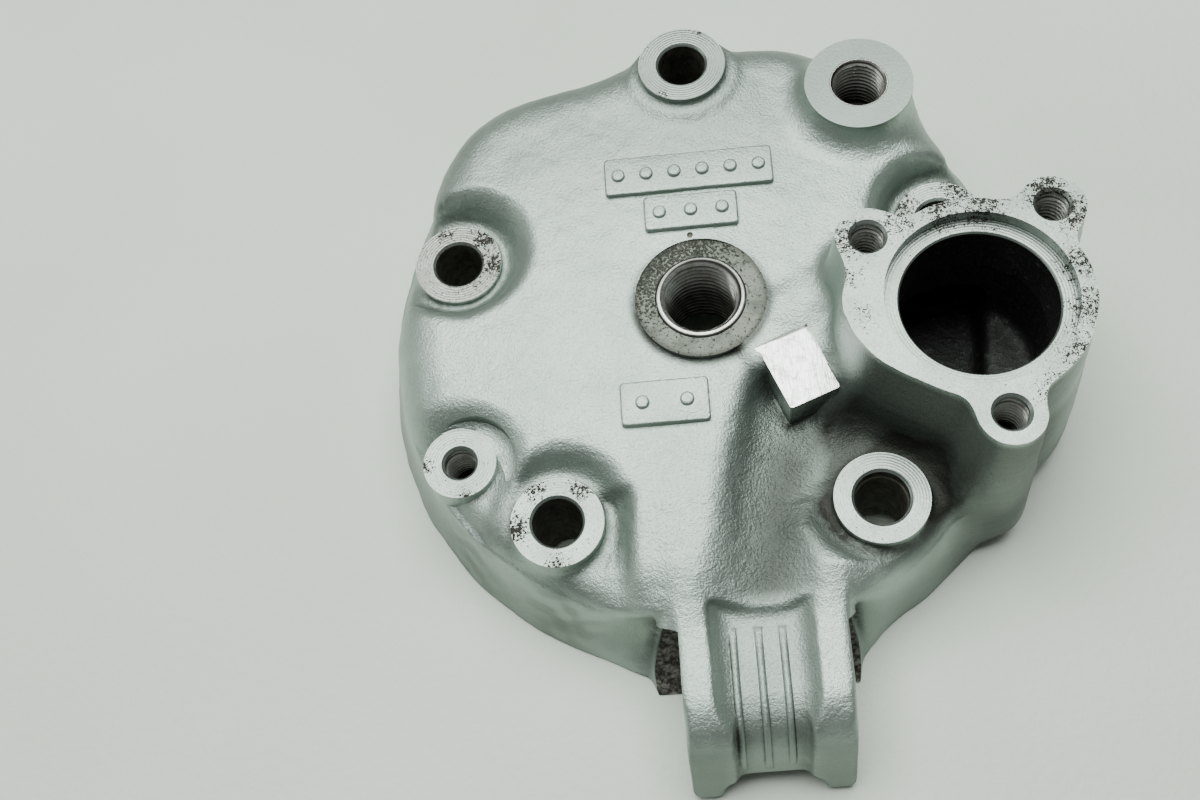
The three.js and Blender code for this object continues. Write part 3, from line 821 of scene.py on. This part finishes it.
def bosses():
    """The crisp round bosses that stand on the ground of the casting."""
    forms = [boss(place, STUD_FACE, top, 4.0) for place, top in zip(STUDS, STUD_HEIGHTS)]
    forms.append(boss((0, 0), PLUG_SEAT["radius"], PLUG_SEAT["z"], 1.5))
    forms.append(boss(SENDER_PLACE, SENDER["radius"], SENDER["z"], 3.0))
    forms.append(boss(SMALL_PLACE, SMALL_BOSS["radius"], SMALL_BOSS["z"], 9.0))
    return joined(forms, "bosses")


def pad_block():
    """Crisp block of the pad, whose top the lid files flat."""
    c, s = math.cos(PAD["turn"]), math.sin(PAD["turn"])
    corners = rounded_outline(PAD["width"], PAD["length"], 0.5) @ np.array([[c, s], [-s, c]])
    outline = corners + (PAD["x"], PAD["y"])
    return raised_form("pad_block", outline, lambda x, y: PAD["top"], 0.5, 0.1, 7.0)


def pad_lid():
    """Cutter that files the pad flat, leaning a little."""
    lid = slab("pad_lid", (-5.1, -6.9, 0), (4.8, 6.6, 5), FILED)
    tilt = Matrix.Rotation(math.radians(1.2), 4, "Y")
    turn = Matrix.Rotation(PAD["turn"], 4, "Z")
    lid.data.transform(Matrix.Translation(Vector((PAD["x"], PAD["y"], PAD["top"])) * MM) @ turn @ tilt)
    return lid


def machine(body):
    """Machined faces first, then every bore, so that no two cutters of one cut overlap."""
    combine(body, relief_cutter(), "DIFFERENCE")
    combine(body, joined([plates(), channel_ribs(), bosses(), pad_block()], "raised"), "UNION")
    combine(body, pips(), "UNION")
    slabs = [
        slab("below", (-90, -100, -8), (90, 90, 0)),
        slab("above_cover", (12, -46, COVER["z"]), (80, 24, COVER["z"] + 8)),
        pad_lid(),
    ]
    combine(body, joined(slabs, "slabs"), "DIFFERENCE")
    cutters = [stud_cutter(index) for index in range(5)]
    cutters.append(plug_cutter())
    cutters.append(cover_bore_cutter())
    cutters += [m6_cutter(place, COVER["z"]) for place in COVER_SCREWS]
    cutters.append(m6_cutter(SMALL_PLACE, SMALL_BOSS["z"], 12.0, SMALL_BOSS["radius"] + 0.4))
    cutters.append(sender_cutter())
    cutters.append(punch_mark())
    cutters.append(stay_cutter())
    combine(body, joined(cutters, "cutters"), "DIFFERENCE")


# ---------------------------------------------------------------- threads and bushes
def thread_height(phase):
    """Depth of a metric thread at a phase of its turn, 0 at the crest and 1 at the root."""
    phase = phase % 1.0
    rise = np.abs(phase - 0.5) * 2
    return np.clip((1 - rise - 0.1) / 0.78, 0, 1)


def threaded_bore(heights, angles, minor, depth, pitch):
    """Radius of a helical bore that opens out at both ends, and the depth of its groove."""
    ends = 0.6
    groove = thread_height((heights[:, None] / pitch) - angles[None, :] / (2 * math.pi))
    radius = minor + depth * groove
    for edge, towards in ((heights[0], 1), (heights[-1], -1)):
        away = (heights[:, None] - edge) * towards
        radius = np.maximum(radius, minor + (depth + 0.25) - away * depth / ends)
    return radius, groove


def collar_wall(collar, bottom, top):
    """Outside of a sleeve with a collar whose upper edge is round, from the bottom up."""
    body, step, rim = collar
    edge_round = 0.3
    wall = [(body, bottom), (body, step), (rim, step), (rim, top - edge_round)]
    wall += [(rim - edge_round * (1 - math.cos(a)), top - edge_round * (1 - math.sin(a)))
             for a in np.linspace(0.3, math.pi / 2, 5)]
    return wall


def sleeve(name, node, minor, depth, pitch, segments=72, collar=None):
    """Threaded sleeve that stands for a CAD insert: a helical bore inside a plain wall.

    `collar` gives the radius of the body, the height where the collar starts, and its radius.
    """
    rows_per_turn = 14
    low, high = (np.array(corner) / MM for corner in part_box(node))
    x0, y0 = (low[:2] + high[:2]) / 2
    outer = (high[0] - low[0]) / 2
    bottom, top = low[2], high[2]
    heights = np.linspace(bottom, top, max(8, int((top - bottom) / pitch * rows_per_turn)))
    angles = turn_angles(segments)
    bore, groove = threaded_bore(heights, angles, minor, depth, pitch)
    wall = collar_wall(collar, bottom, top) if collar else [(outer, bottom), (outer, top)]
    radii = list(bore) + [np.full(segments, radius) for radius, _ in wall[::-1]]
    levels = list(heights) + [height for _, height in wall[::-1]]
    points = np.array([(x0 + r * math.cos(a), y0 + r * math.sin(a), z)
                       for ring, z in zip(radii, levels) for r, a in zip(ring, angles)])
    thing = facing_out(mesh_object(name, points, ring_faces(len(levels), segments, closed=True)))
    # Darker in the thread roots and deeper down the hole: grime and painted shade.
    grime_and_shade = np.clip(groove + 0.65 * ease(top - heights[:, None], 3.0, 12.0), 0, 1.5)
    worn = np.full(len(wall) * segments, 0.45 if collar else 0.0)
    layer = thing.data.attributes.new("grime_and_shade", "FLOAT", "POINT")
    layer.data.foreach_set("value", np.append(grime_and_shade.ravel(), worn).astype(np.float32))
    thing.data.set_sharp_from_angle(angle=math.radians(38))
    return finish_piece(thing, node)


def bush(name, node):
    """Plain steel bush along X with chamfered mouths."""
    low, high = (np.array(corner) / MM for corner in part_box(node))
    outer = (high[2] - low[2]) / 2
    bore = 3.2
    left, right = low[0], high[0]
    loop = [(outer, left + 0.4), (outer, right - 0.4), (outer - 0.4, right), (bore + 0.5, right),
            (bore, right - 0.5), (bore, left + 0.5), (bore + 0.5, left), (outer - 0.4, left)]
    segments = 96
    angles = turn_angles(segments)
    y0, z0 = (low[1:] + high[1:]) / 2
    points = [(x, y0 + r * math.cos(a), z0 + r * math.sin(a)) for r, x in loop for a in angles]
    faces = ring_faces(len(loop), segments, closed=True)
    thing = facing_out(mesh_object(name, points, faces))
    thing.data.set_sharp_from_angle(angle=math.radians(30))
    return finish_piece(thing, node)


def finish_piece(thing, node):
    """Smooth shading, and the names by which the frame knows the piece."""
    thing.data.polygons.foreach_set("use_smooth", np.ones(len(thing.data.polygons), bool))
    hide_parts(node)
    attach(thing, "root")
    return thing


# ---------------------------------------------------------------- materials
class Graph:
    """A material and the nodes that make it."""

    def __init__(self, name):
        self.material = bpy.data.materials.new(name)
        self.material.use_nodes = True
        self.tree = self.material.node_tree
        self.tree.nodes.clear()
        self.place = self.add("ShaderNodeTexCoord").outputs["Object"]

    def add(self, kind, inputs=None, **settings):
        node = self.tree.nodes.new(kind)
        for key, value in settings.items():
            setattr(node, key, value)
        for key, value in (inputs or {}).items():
            socket = node.inputs[key]
            if isinstance(value, bpy.types.NodeSocket):
                self.tree.links.new(value, socket)
            else:
                socket.default_value = value
        return node

    def math(self, operation, a, b=0.0, clamp=False):
        return self.add("ShaderNodeMath", {0: a, 1: b}, operation=operation, use_clamp=clamp).outputs[0]

    def times(self, a, b, clamp=False):
        return self.math("MULTIPLY", a, b, clamp)

    def plus(self, a, b, clamp=False):
        return self.math("ADD", a, b, clamp)

    def noise(self, scale, detail=3.0, rough=0.55, distortion=0.0):
        """Noise whose grains are about 1/scale millimetres across, from 0 to 1."""
        inputs = {"Vector": self.place, "Scale": scale / MM, "Detail": detail,
                  "Roughness": rough, "Distortion": distortion}
        return self.add("ShaderNodeTexNoise", inputs).outputs["Fac"]

    def ramp(self, value, low, high, start=0.0, end=1.0):
        """Smooth step of a value between two limits, from `start` to `end`."""
        inputs = {"Value": value, "From Min": low, "From Max": high, "To Min": start, "To Max": end}
        return self.add("ShaderNodeMapRange", inputs, interpolation_type="SMOOTHSTEP").outputs["Result"]

    def mix(self, share, a, b):
        node = self.add("ShaderNodeMix", {0: share}, data_type="RGBA")
        for index, value in ((6, a), (7, b)):
            if isinstance(value, bpy.types.NodeSocket):
                self.tree.links.new(value, node.inputs[index])
            else:
                node.inputs[index].default_value = (*value, 1)
        return node.outputs[2]

    def away(self, x0, y0):
        """Distance in plan from a place given in millimetres."""
        kind = "ShaderNodeVectorMath"
        flat = self.add(kind, {0: self.place, 1: (1, 1, 0)}, operation="MULTIPLY").outputs[0]
        return self.add(kind, {0: flat, 1: (x0 * MM, y0 * MM, 0)}, operation="DISTANCE").outputs["Value"]

    def height(self):
        return self.add("ShaderNodeSeparateXYZ", {0: self.place}).outputs[2]

    def attribute(self, name):
        return self.add("ShaderNodeAttribute", attribute_name=name).outputs["Fac"]

    def bump(self, height, distance, strength=1.0, normal=None):
        inputs = {"Height": height, "Distance": distance * MM, "Strength": strength}
        if normal:
            inputs["Normal"] = normal
        return self.add("ShaderNodeBump", inputs).outputs["Normal"]

    def finish(self, colour, metallic, roughness, normal):
        inputs = {"Base Color": colour, "Metallic": metallic, "Roughness": roughness, "Normal": normal}
        shader = self.add("ShaderNodeBsdfPrincipled", inputs)
        self.add("ShaderNodeOutputMaterial", {"Surface": shader.outputs[0]})
        return self.material


def cast_material():
    """Blasted aluminium casting: fine satin grain, coarser in the scoop, grime and painted shade in the
    hollows, stain and painted shade region by region.
    """
    g = Graph("cast_aluminium_skin")
    fine = g.noise(3.6, 3.0, 0.6)
    grain = g.noise(1.9, 3.0, 0.55)
    cloud = g.noise(0.08, 3.0)
    coarse = g.attribute("coarse")
    # Grime and painted shade in recesses and creases.
    hollow = g.attribute("hollow")
    # Deposit and painted shade, region by region.
    stain_and_shade = g.attribute("stain_and_shade")
    colour = g.mix(g.ramp(cloud, 0.35, 0.7), (0.385, 0.455, 0.415), (0.445, 0.515, 0.475))
    colour = g.mix(g.ramp(fine, 0.52, 0.75, 0, 0.45), colour, (0.64, 0.7, 0.66))
    specks = g.times(g.ramp(g.noise(1.5, 2.0, 0.5), 0.63, 0.71), g.ramp(cloud, 0.45, 0.7), True)
    colour = g.mix(g.times(specks, 0.55), colour, (0.2, 0.21, 0.19))
    # Grime and stain, with painted shade in the hollows and on faces turned from the light, darken the
    # colour to near black.
    patchy = g.times(hollow, g.ramp(g.noise(0.55, 4.0, 0.65), 0.2, 0.6, 0.3, 1.0), True)
    dirt_and_shade = g.plus(g.times(patchy, 0.8), g.times(stain_and_shade, 0.85), True)
    colour = g.mix(dirt_and_shade, colour, (0.05, 0.052, 0.045))
    roughness = g.plus(g.ramp(fine, 0.2, 0.8, 0.36, 0.48), g.times(dirt_and_shade, 0.18))
    height = g.plus(g.times(fine, 0.4), g.times(grain, 0.6))
    sanded = g.math("SUBTRACT", 1.0, g.times(g.attribute("smooth"), 0.75))
    normal = g.bump(g.times(height, sanded), 0.25, 0.9)
    wrinkle = g.times(g.noise(1.7, 3.0, 0.6), coarse)
    normal = g.bump(wrinkle, 0.36, 0.8, normal)
    return g.finish(colour, 0.9, roughness, normal)


# Pitted patches on the ring faces: distance and direction from the middle of the ring,
# how far the patch reaches, and how dense it is.
PITTED_PATCHES = (
    (STUDS[LEFT], ((7.2, 45, 5, 0.2), (7.2, -5, 5, 0.2), (7.5, 110, 3.5, 0.16), (3, 0, 9, 0.13))),
    (STUDS[LOWER_LEFT], ((7.4, 185, 4.5, 0.2), (7.2, 120, 4, 0.18), (7.2, 55, 4, 0.18),
                         (7.6, -90, 3.5, 0.15))),
    (STUDS[TOP], ((8, 60, 2.5, 0.14), (8, -120, 2.5, 0.13))),
    (SMALL_PLACE, ((6.2, 180, 3, 0.16), (6.2, -80, 3, 0.16))),
    (COVER_PLACE, ((24, 148, 8, 0.16), (19, 128, 7, 0.14), (17.6, 105, 7, 0.16), (17.6, 80, 8, 0.16),
                   (23, 55, 8, 0.17), (22, 38, 8, 0.16), (18, 15, 8, 0.16), (18, -12, 8, 0.16),
                   (18, -40, 8, 0.15), (20, -62, 7, 0.15), (22, 165, 5, 0.14), (19, 185, 5, 0.1))),
    (STUDS[RIGHT], ((7.4, 60, 6, 0.15), (7.4, 150, 6, 0.15))),
)
TURNING_FEED = 0.5
RING_MARKS = [(*place, STUD_FACE) for place in STUDS] + [(*SMALL_PLACE, 7.0), (*COVER_PLACE, 15.6)]


def machined_material():
    """Faced aluminium: bright, faint turning marks, fine corrosion pits gathered in patches."""
    g = Graph("machined_aluminium")
    fine = g.noise(3.2, 2.0)
    cloud = g.noise(0.13, 3.0, 0.5)
    gathered = 0.0
    for middle, patches in PITTED_PATCHES:
        for radius, direction, reach, amount in patches:
            away = g.away(*polar(radius, direction, middle))
            gathered = g.math("MAXIMUM", gathered, g.ramp(away, 0, reach * MM, amount, 0.0))
    rings = 0.0
    for x0, y0, outer in RING_MARKS:
        away = g.away(x0, y0)
        near = g.math("LESS_THAN", away, outer * MM)
        marks = g.times(g.math("SINE", g.times(away, 2 * math.pi / (TURNING_FEED * MM))), near)
        rings = g.plus(rings, marks)
    on_cover = g.ramp(g.away(*COVER_PLACE), 24 * MM, 30 * MM, 1.0, 0.0)
    blobs = g.noise(2.4, 4.0, 0.7)
    specks = g.plus(g.times(g.noise(1.1, 3.0, 0.6), 0.4), g.times(g.noise(3.4, 3.0, 0.7), 0.6))
    grain = g.plus(g.times(specks, on_cover), g.times(blobs, g.math("SUBTRACT", 1.0, on_cover)))
    level = g.plus(grain, gathered)
    on_top = g.ramp(g.height(), 10 * MM, 12 * MM)
    pitted = g.times(g.ramp(level, 0.645, 0.68), on_top)
    colour = g.mix(g.ramp(cloud, 0.35, 0.65), (0.26, 0.298, 0.275), (0.33, 0.368, 0.345))
    colour = g.mix(g.ramp(g.noise(0.7, 4.0, 0.6), 0.5, 0.75, 0, 0.3), colour, (0.28, 0.29, 0.27))
    round_pits = g.times(g.ramp(level, 0.6, 0.66, 0.0, 0.5), on_top)
    colour = g.mix(round_pits, colour, (0.26, 0.245, 0.21))
    on_left = g.ramp(g.away(*STUDS[LEFT]), 8.4 * MM, 9 * MM, 1.0, 0.0)
    tarnish = g.times(on_left, g.ramp(blobs, 0.38, 0.6, 0.15, 0.8))
    colour = g.mix(tarnish, colour, (0.2, 0.19, 0.165))
    colour = g.mix(pitted, colour, (0.055, 0.05, 0.045))
    roughness = g.plus(g.ramp(fine, 0.3, 0.7, 0.33, 0.43), g.times(pitted, 0.4))
    height = g.math("SUBTRACT", g.plus(g.times(fine, 0.2), g.times(rings, 0.12)), pitted)
    return g.finish(colour, 0.85, roughness, g.bump(height, 0.1, 0.7))


def corroded_material():
    """Bare cut face gone dark, with deep pits."""
    g = Graph("corroded_cut")
    pits = g.ramp(g.noise(0.9, 5.0, 0.75), 0.42, 0.6)
    colour = g.mix(pits, (0.24, 0.235, 0.21), (0.035, 0.03, 0.025))
    height = g.times(pits, -1.0)
    return g.finish(colour, 0.55, 0.62, g.bump(height, 0.5, 0.9))


def seat_material():
    """Spark plug seat, stained grey-brown, with black pits."""
    g = Graph("stained_seat")
    stain_and_shade = g.noise(0.3, 4.0, 0.6)
    upper_left = g.ramp(g.away(*polar(12, 125)), 6 * MM, 20 * MM, 0.14, 0.0)
    pits = g.ramp(g.plus(g.noise(1.9, 5.0, 0.7), upper_left), 0.58, 0.72, 0.0, 0.8)
    edge = g.times(g.ramp(g.away(0, 0), 10.4 * MM, 11.7 * MM), g.ramp(stain_and_shade, 0.3, 0.6, 0.3, 0.8))
    colour = g.mix(g.ramp(stain_and_shade, 0.3, 0.7), (0.095, 0.105, 0.087), (0.185, 0.2, 0.17))
    colour = g.mix(g.math("MAXIMUM", pits, edge), colour, (0.035, 0.034, 0.028))
    height = g.math("SUBTRACT", g.times(g.noise(2.5), 0.4), pits)
    return g.finish(colour, 0.6, 0.5, g.bump(height, 0.2, 0.7))


def bore_material():
    """Walls of drilled holes: dull, oxidised, with turning marks."""
    g = Graph("oxidised_bore")
    streak = g.noise(0.5, 4.0, 0.6)
    colour = g.mix(g.ramp(streak, 0.3, 0.7), (0.13, 0.125, 0.1), (0.05, 0.048, 0.04))
    return g.finish(colour, 0.5, 0.6, g.bump(g.noise(1.5, 4.0, 0.6), 0.12, 0.7))


def filed_material():
    """Filed pad: very bright, crossed by fine scratches, dull along one edge."""
    g = Graph("filed_aluminium")
    turned_place = g.add("ShaderNodeMapping", {"Vector": g.place, "Rotation": (0, 0, -PAD["turn"] + 0.3),
                                               "Scale": (1, 0.12, 1)}).outputs[0]
    inputs = {"Vector": turned_place, "Scale": 3.2 / MM, "Detail": 4.0}
    scratch = g.add("ShaderNodeTexNoise", inputs).outputs["Fac"]
    dull = g.ramp(g.noise(0.6, 5.0, 0.7, 0.8), 0.47, 0.66)
    colour = g.mix(dull, (0.93, 0.94, 0.93), (0.5, 0.52, 0.5))
    roughness = g.ramp(scratch, 0.3, 0.7, 0.28, 0.42)
    return g.finish(colour, 0.8, roughness, g.bump(scratch, 0.12, 0.8))


def inside_material():
    """Water passages: nearly black, coolant deposit and painted shade, with a few glinting pits."""
    g = Graph("coolant_stain_and_shade")
    rough = g.noise(0.7, 5.0, 0.7)
    colour = g.mix(g.ramp(rough, 0.55, 0.75), (0.016, 0.017, 0.016), (0.1, 0.105, 0.1))
    return g.finish(colour, 0.3, g.ramp(rough, 0.4, 0.7, 0.5, 0.35), g.bump(rough, 0.4, 0.8))


def thread_material():
    """Bright steel thread with grime and painted shade in its roots, painted darker deeper down the hole.
    """
    g = Graph("thread_metal")
    fine = g.noise(2.5, 3.0)
    grime_and_shade = g.attribute("grime_and_shade")
    colour = g.mix(g.ramp(g.noise(0.4, 4.0), 0.45, 0.75), (0.62, 0.62, 0.59), (0.44, 0.42, 0.37))
    colour = g.mix(g.ramp(grime_and_shade, 0.2, 0.9, 0, 0.93), colour, (0.04, 0.036, 0.03))
    roughness = g.plus(g.ramp(fine, 0.3, 0.7, 0.24, 0.36), g.times(grime_and_shade, 0.2))
    return g.finish(colour, 0.95, roughness, g.bump(fine, 0.05, 0.5))


def bush_material():
    """Plain steel with brown patches."""
    g = Graph("bush_steel")
    fine = g.noise(2.0, 3.0)
    colour = g.mix(g.ramp(g.noise(0.5, 4.0), 0.45, 0.7), (0.5, 0.5, 0.5), (0.25, 0.2, 0.16))
    return g.finish(colour, 0.95, g.ramp(fine, 0.3, 0.7, 0.3, 0.5), g.bump(fine, 0.06, 0.5))


# ---------------------------------------------------------------- the object
def hollow_share(points, normals):
    """How far the ground around a point closes it in: grime and painted shade gather there."""
    hollow = np.zeros(len(points))
    for reach in (1.2, 3.0):
        open_share = field_values(points + normals * reach) / reach
        hollow += 0.5 * np.clip(1 - open_share, 0, 1)
    x, y, _ = points.T
    hollow *= ease(reach_from(RELIEF_PLACE, x, y), 7.5, 9.5)
    return ease(hollow, 0.12, 0.8)


def smooth_share(x, y, z):
    """The flat face of the sender boss, which has no sand grain."""
    on_sender = ease(reach_from(SENDER_PLACE, x, y), SENDER["radius"] + 0.4, SENDER["radius"] + 0.1)
    return on_sender * ease(z, SENDER["z"] - 0.2, SENDER["z"] - 0.05)


def stain_and_shade_share(points):
    """How dark the skin is painted, region by region: some deposit, and painted shade on faces turned
    from the light.
    """
    x, y, z = points.T
    radius = np.hypot(x, y)
    from_cover = reach_from(COVER_PLACE, x, y)
    # Housing front below the cover, turned from the light: painted shade, with some grime.
    under_cover = ease(0.5 * (x - 30) - y, 14, 20) * ease(from_cover, 34, 25)
    under_cover *= ease(z, 42.5, 40) * ease(z, 6, 18) * ease(x, 64, 52)
    # Darker in the pocket round the lower right boss.
    by_boss = ease(reach_from(STUDS[LOWER_RIGHT], x, y), 12.5, 9) * ease(z, 21.5, 20)
    # Painted shade on the low right flank of the housing.
    right_foot = bell(np.hypot(x - 48, y + 40), 8) * ease(z, 22, 10)
    # Painted shade in the deep scoop.
    middle = np.interp(y, (-54, -40, -30, -15), (7, 9.5, 13, 14))
    scoop = bell(x - middle, 7) * ease(-y, 17, 30) * ease(y, -55, -51) * ease(z, 27, 25)
    # Darker on the flank beside the pad.
    flank = ease(x, 17, 22) * ease(-y, 8, 14) * ease(y, -36, -28) * ease(z, 30, 24)
    # Painted shade on the bracket end, which is turned from the light.
    end = ease(-y, 73, 79) * ease(z, 20, 15)
    end *= 0.8 + 0.2 * ease(np.abs(x - BRACKET_MIDDLE), 6, 9)
    # Darker along the channel floor.
    channel_bed = ease(-y, 53, 56) * ease(-y, 78, 74)
    channel_bed *= ease(np.abs(x - 5), 10, 8) * ease(z, 20.6, 19.4)
    # Darker towards the bottom of the wall.
    low_wall = ease(radius, 54, 58) * ease(z, 18, 4) * ease(-y, 62, 50)
    # Painted shade on the lower left ground, which slopes towards the front.
    lower_ground = bell(np.hypot(x + 41, y + 35), 7) + bell(np.hypot(x + 27, y + 49), 7)
    lower_ground *= 0.6 + 0.4 * np.clip(waves(points, 5, 21), -1, 1)
    # Painted shade on the top ground, where the light falls off.
    top_ground = ease(y, 12, 36) * ease(z, 22, 24) * ease(x, 24, 14)
    # Painted shadow just below the lower rim of the plug seat.
    seat_rim = bell(radius - PLUG_SEAT["radius"] - 0.4, 0.8) * ease(-y, -8, 4) * ease(z, 26, 27)
    regions = (
        (0.9, under_cover), (0.7, by_boss), (0.5, right_foot), (0.95, scoop), (0.3, flank), (0.6, end),
        (0.28, channel_bed), (0.5, low_wall), (0.3, top_ground), (0.4, lower_ground),
        (0.9, seat_rim), (0.4, smooth_share(x, y, z)),
    )
    return np.clip(sum(amount * share for amount, share in regions), 0, 1)


def mark_surface(body):
    """Per-point shares that the cast material reads."""
    vertices = body.data.vertices
    points = values_of(vertices, "co", 3) / MM
    normals = values_of(vertices, "normal", 3)
    shares = {
        # Grime and painted shade in recesses.
        "hollow": hollow_share(points, normals),
        "coarse": rough_ground(points),
        # Darkness painted by region: some deposit, mostly painted shade.
        "stain_and_shade": stain_and_shade_share(points),
        "smooth": smooth_share(*points.T),
    }
    for name, values in shares.items():
        layer = body.data.attributes.new(name, "FLOAT", "POINT")
        layer.data.foreach_set("value", values.astype(np.float32))


def mark_inside(body):
    """The pocket under the thermostat and the water space take the dark finish of coolant stain and
    painted shade.
    """
    polygons = body.data.polygons
    marks = values_of(polygons, "material_index", kind=np.int32)
    x, y, z = values_of(polygons, "center", 3).T / MM
    seat = COVER["z"] - COVER_BORE["mouth_depth"]
    pocket = (reach_from(COVER_PLACE, x, y) < 15) & (z < seat - 0.1) & (z > 1)
    water = (np.hypot(x, y) < WATER["outer"] + 2) & (z > 0.3) & (z < CHANNEL_FLOOR - 0.05)
    marks[(marks == CAST) & (pocket | water)] = INSIDE
    polygons.foreach_set("material_index", marks)


def sharpen(mesh):
    """Sharp edges where the surface folds and wherever a machined face meets another skin."""
    mesh.polygons.foreach_set("use_smooth", np.ones(len(mesh.polygons), bool))
    mesh.set_sharp_from_angle(angle=math.radians(34))
    marks = values_of(mesh.polygons, "material_index", kind=np.int32)
    corners = values_of(mesh.polygons, "loop_total", kind=np.int32)
    edges = values_of(mesh.loops, "edge_index", kind=np.int32)
    corner_marks = np.repeat(marks, corners)
    low, high = np.full(len(mesh.edges), 99), np.full(len(mesh.edges), -1)
    np.minimum.at(low, edges, corner_marks)
    np.maximum.at(high, edges, corner_marks)
    sharp = values_of(mesh.edges, "use_edge_sharp", kind=bool)
    mesh.edges.foreach_set("use_edge_sharp", sharp | ((low != high) & (high != INSIDE)))
    mesh.update()


def casting():
    """The cast and machined head, with its skins in the order of the slots."""
    skins.extend([cast_material(), machined_material(), corroded_material(), seat_material(),
                  bore_material(), filed_material(), inside_material()])
    build_field()
    body = cast_body()
    machine(body)
    mark_inside(body)
    sharpen(body.data)
    mark_surface(body)
    skins.clear()
    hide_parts("head_casting")
    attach(body, "root")


def inserts():
    """The six thread sleeves and the two bushes, where the CAD has them."""
    metal = thread_material()
    collar = (7.6, PLUG_SEAT["z"] - 3.0, 7.9)
    plug = sleeve("plug_thread", "plug_thread_insert", *PLUG_THREAD, 96, collar)
    pieces = [plug, sleeve("sender_thread", "sender_thread_insert", *SENDER_THREAD, 80)]
    for side in ("left", "right", "lower"):
        pieces.append(sleeve(f"cover_thread_{side}", f"cover_thread_insert_{side}", *M6_THREAD))
    pieces.append(sleeve("small_boss_thread", "small_boss_thread_insert", *M6_THREAD))
    for piece in pieces:
        piece.data.materials.append(metal)
    steel = bush_material()
    for side in ("left", "right"):
        bush(f"stay_bush_{side}_turned", f"stay_bush_{side}").data.materials.append(steel)


# ---------------------------------------------------------------- floor, light and camera
def floor():
    """Pale, slightly uneven floor just under the gasket face."""
    size = 3000
    corners = [(-size, -size, 0), (size, -size, 0), (size, size, 0), (-size, size, 0)]
    thing = mesh_object("floor", corners, [(0, 1, 2, 3)])
    thing.location.z = -0.4 * MM
    g = Graph("pale_floor")
    cells = g.noise(0.55, 3.0, 0.6)
    colour = g.mix(g.ramp(g.noise(0.01, 2.0), 0.3, 0.7), (0.67, 0.73, 0.645), (0.73, 0.79, 0.705))
    thing.data.materials.append(g.finish(colour, 0.0, 0.55, g.bump(cells, 0.5, 0.35)))


def soft_light(name, place, target, size, watts):
    """Rectangular softbox that looks at a target."""
    lamp = bpy.data.lights.new(name, "AREA")
    lamp.color = (0.95, 1.0, 0.955)
    lamp.shape = "RECTANGLE"
    lamp.size, lamp.size_y = size
    lamp.energy = watts
    thing = bpy.data.objects.new(name, lamp)
    thing.location = place
    thing.rotation_euler = (Vector(target) - Vector(place)).to_track_quat("-Z", "Y").to_euler()
    bpy.context.scene.collection.objects.link(thing)


def lights():
    soft_light("overhead_softbox", (-0.05, 0.25, 1.05), (0, 0, 0), (1.1, 0.8), 21)
    soft_light("side_softbox", (-0.9, 0.1, 0.55), (0, 0, 0), (0.5, 0.5), 1.5)
    world = bpy.data.worlds.new("studio")
    bpy.context.scene.world = world
    world.use_nodes = True
    sky = world.node_tree.nodes["Background"].inputs
    sky["Color"].default_value = (0.93, 0.97, 0.96, 1)
    sky["Strength"].default_value = 0.12


def camera():
    """A view from the front and above, rolled a little."""
    elevation, roll, azimuth = math.radians(65.18), math.radians(-14.46), math.radians(-10.69)
    distance, shift_x, shift_y = 272.7, 20.71, 6.84
    right = Vector((1, 0, 0))
    forward = Vector((0, math.cos(elevation), -math.sin(elevation)))
    up = Vector((0, math.sin(elevation), math.cos(elevation)))
    side = math.cos(roll) * right + math.sin(roll) * up
    top = -math.sin(roll) * right + math.cos(roll) * up
    back = Matrix.Rotation(-azimuth, 3, "Z")
    place = back @ (side * -shift_x + top * -shift_y + forward * -distance)
    axes = Matrix((back @ side, back @ top, -(back @ forward))).transposed()
    lens = bpy.data.cameras.new("camera")
    lens.lens = 42
    lens.sensor_width = 36
    lens.clip_start = 0.01
    thing = bpy.data.objects.new("camera", lens)
    thing.matrix_world = Matrix.Translation(place * MM) @ axes.to_4x4()
    bpy.context.scene.collection.objects.link(thing)
    bpy.context.scene.camera = thing


camera()
lights()
floor()
casting()
inserts()
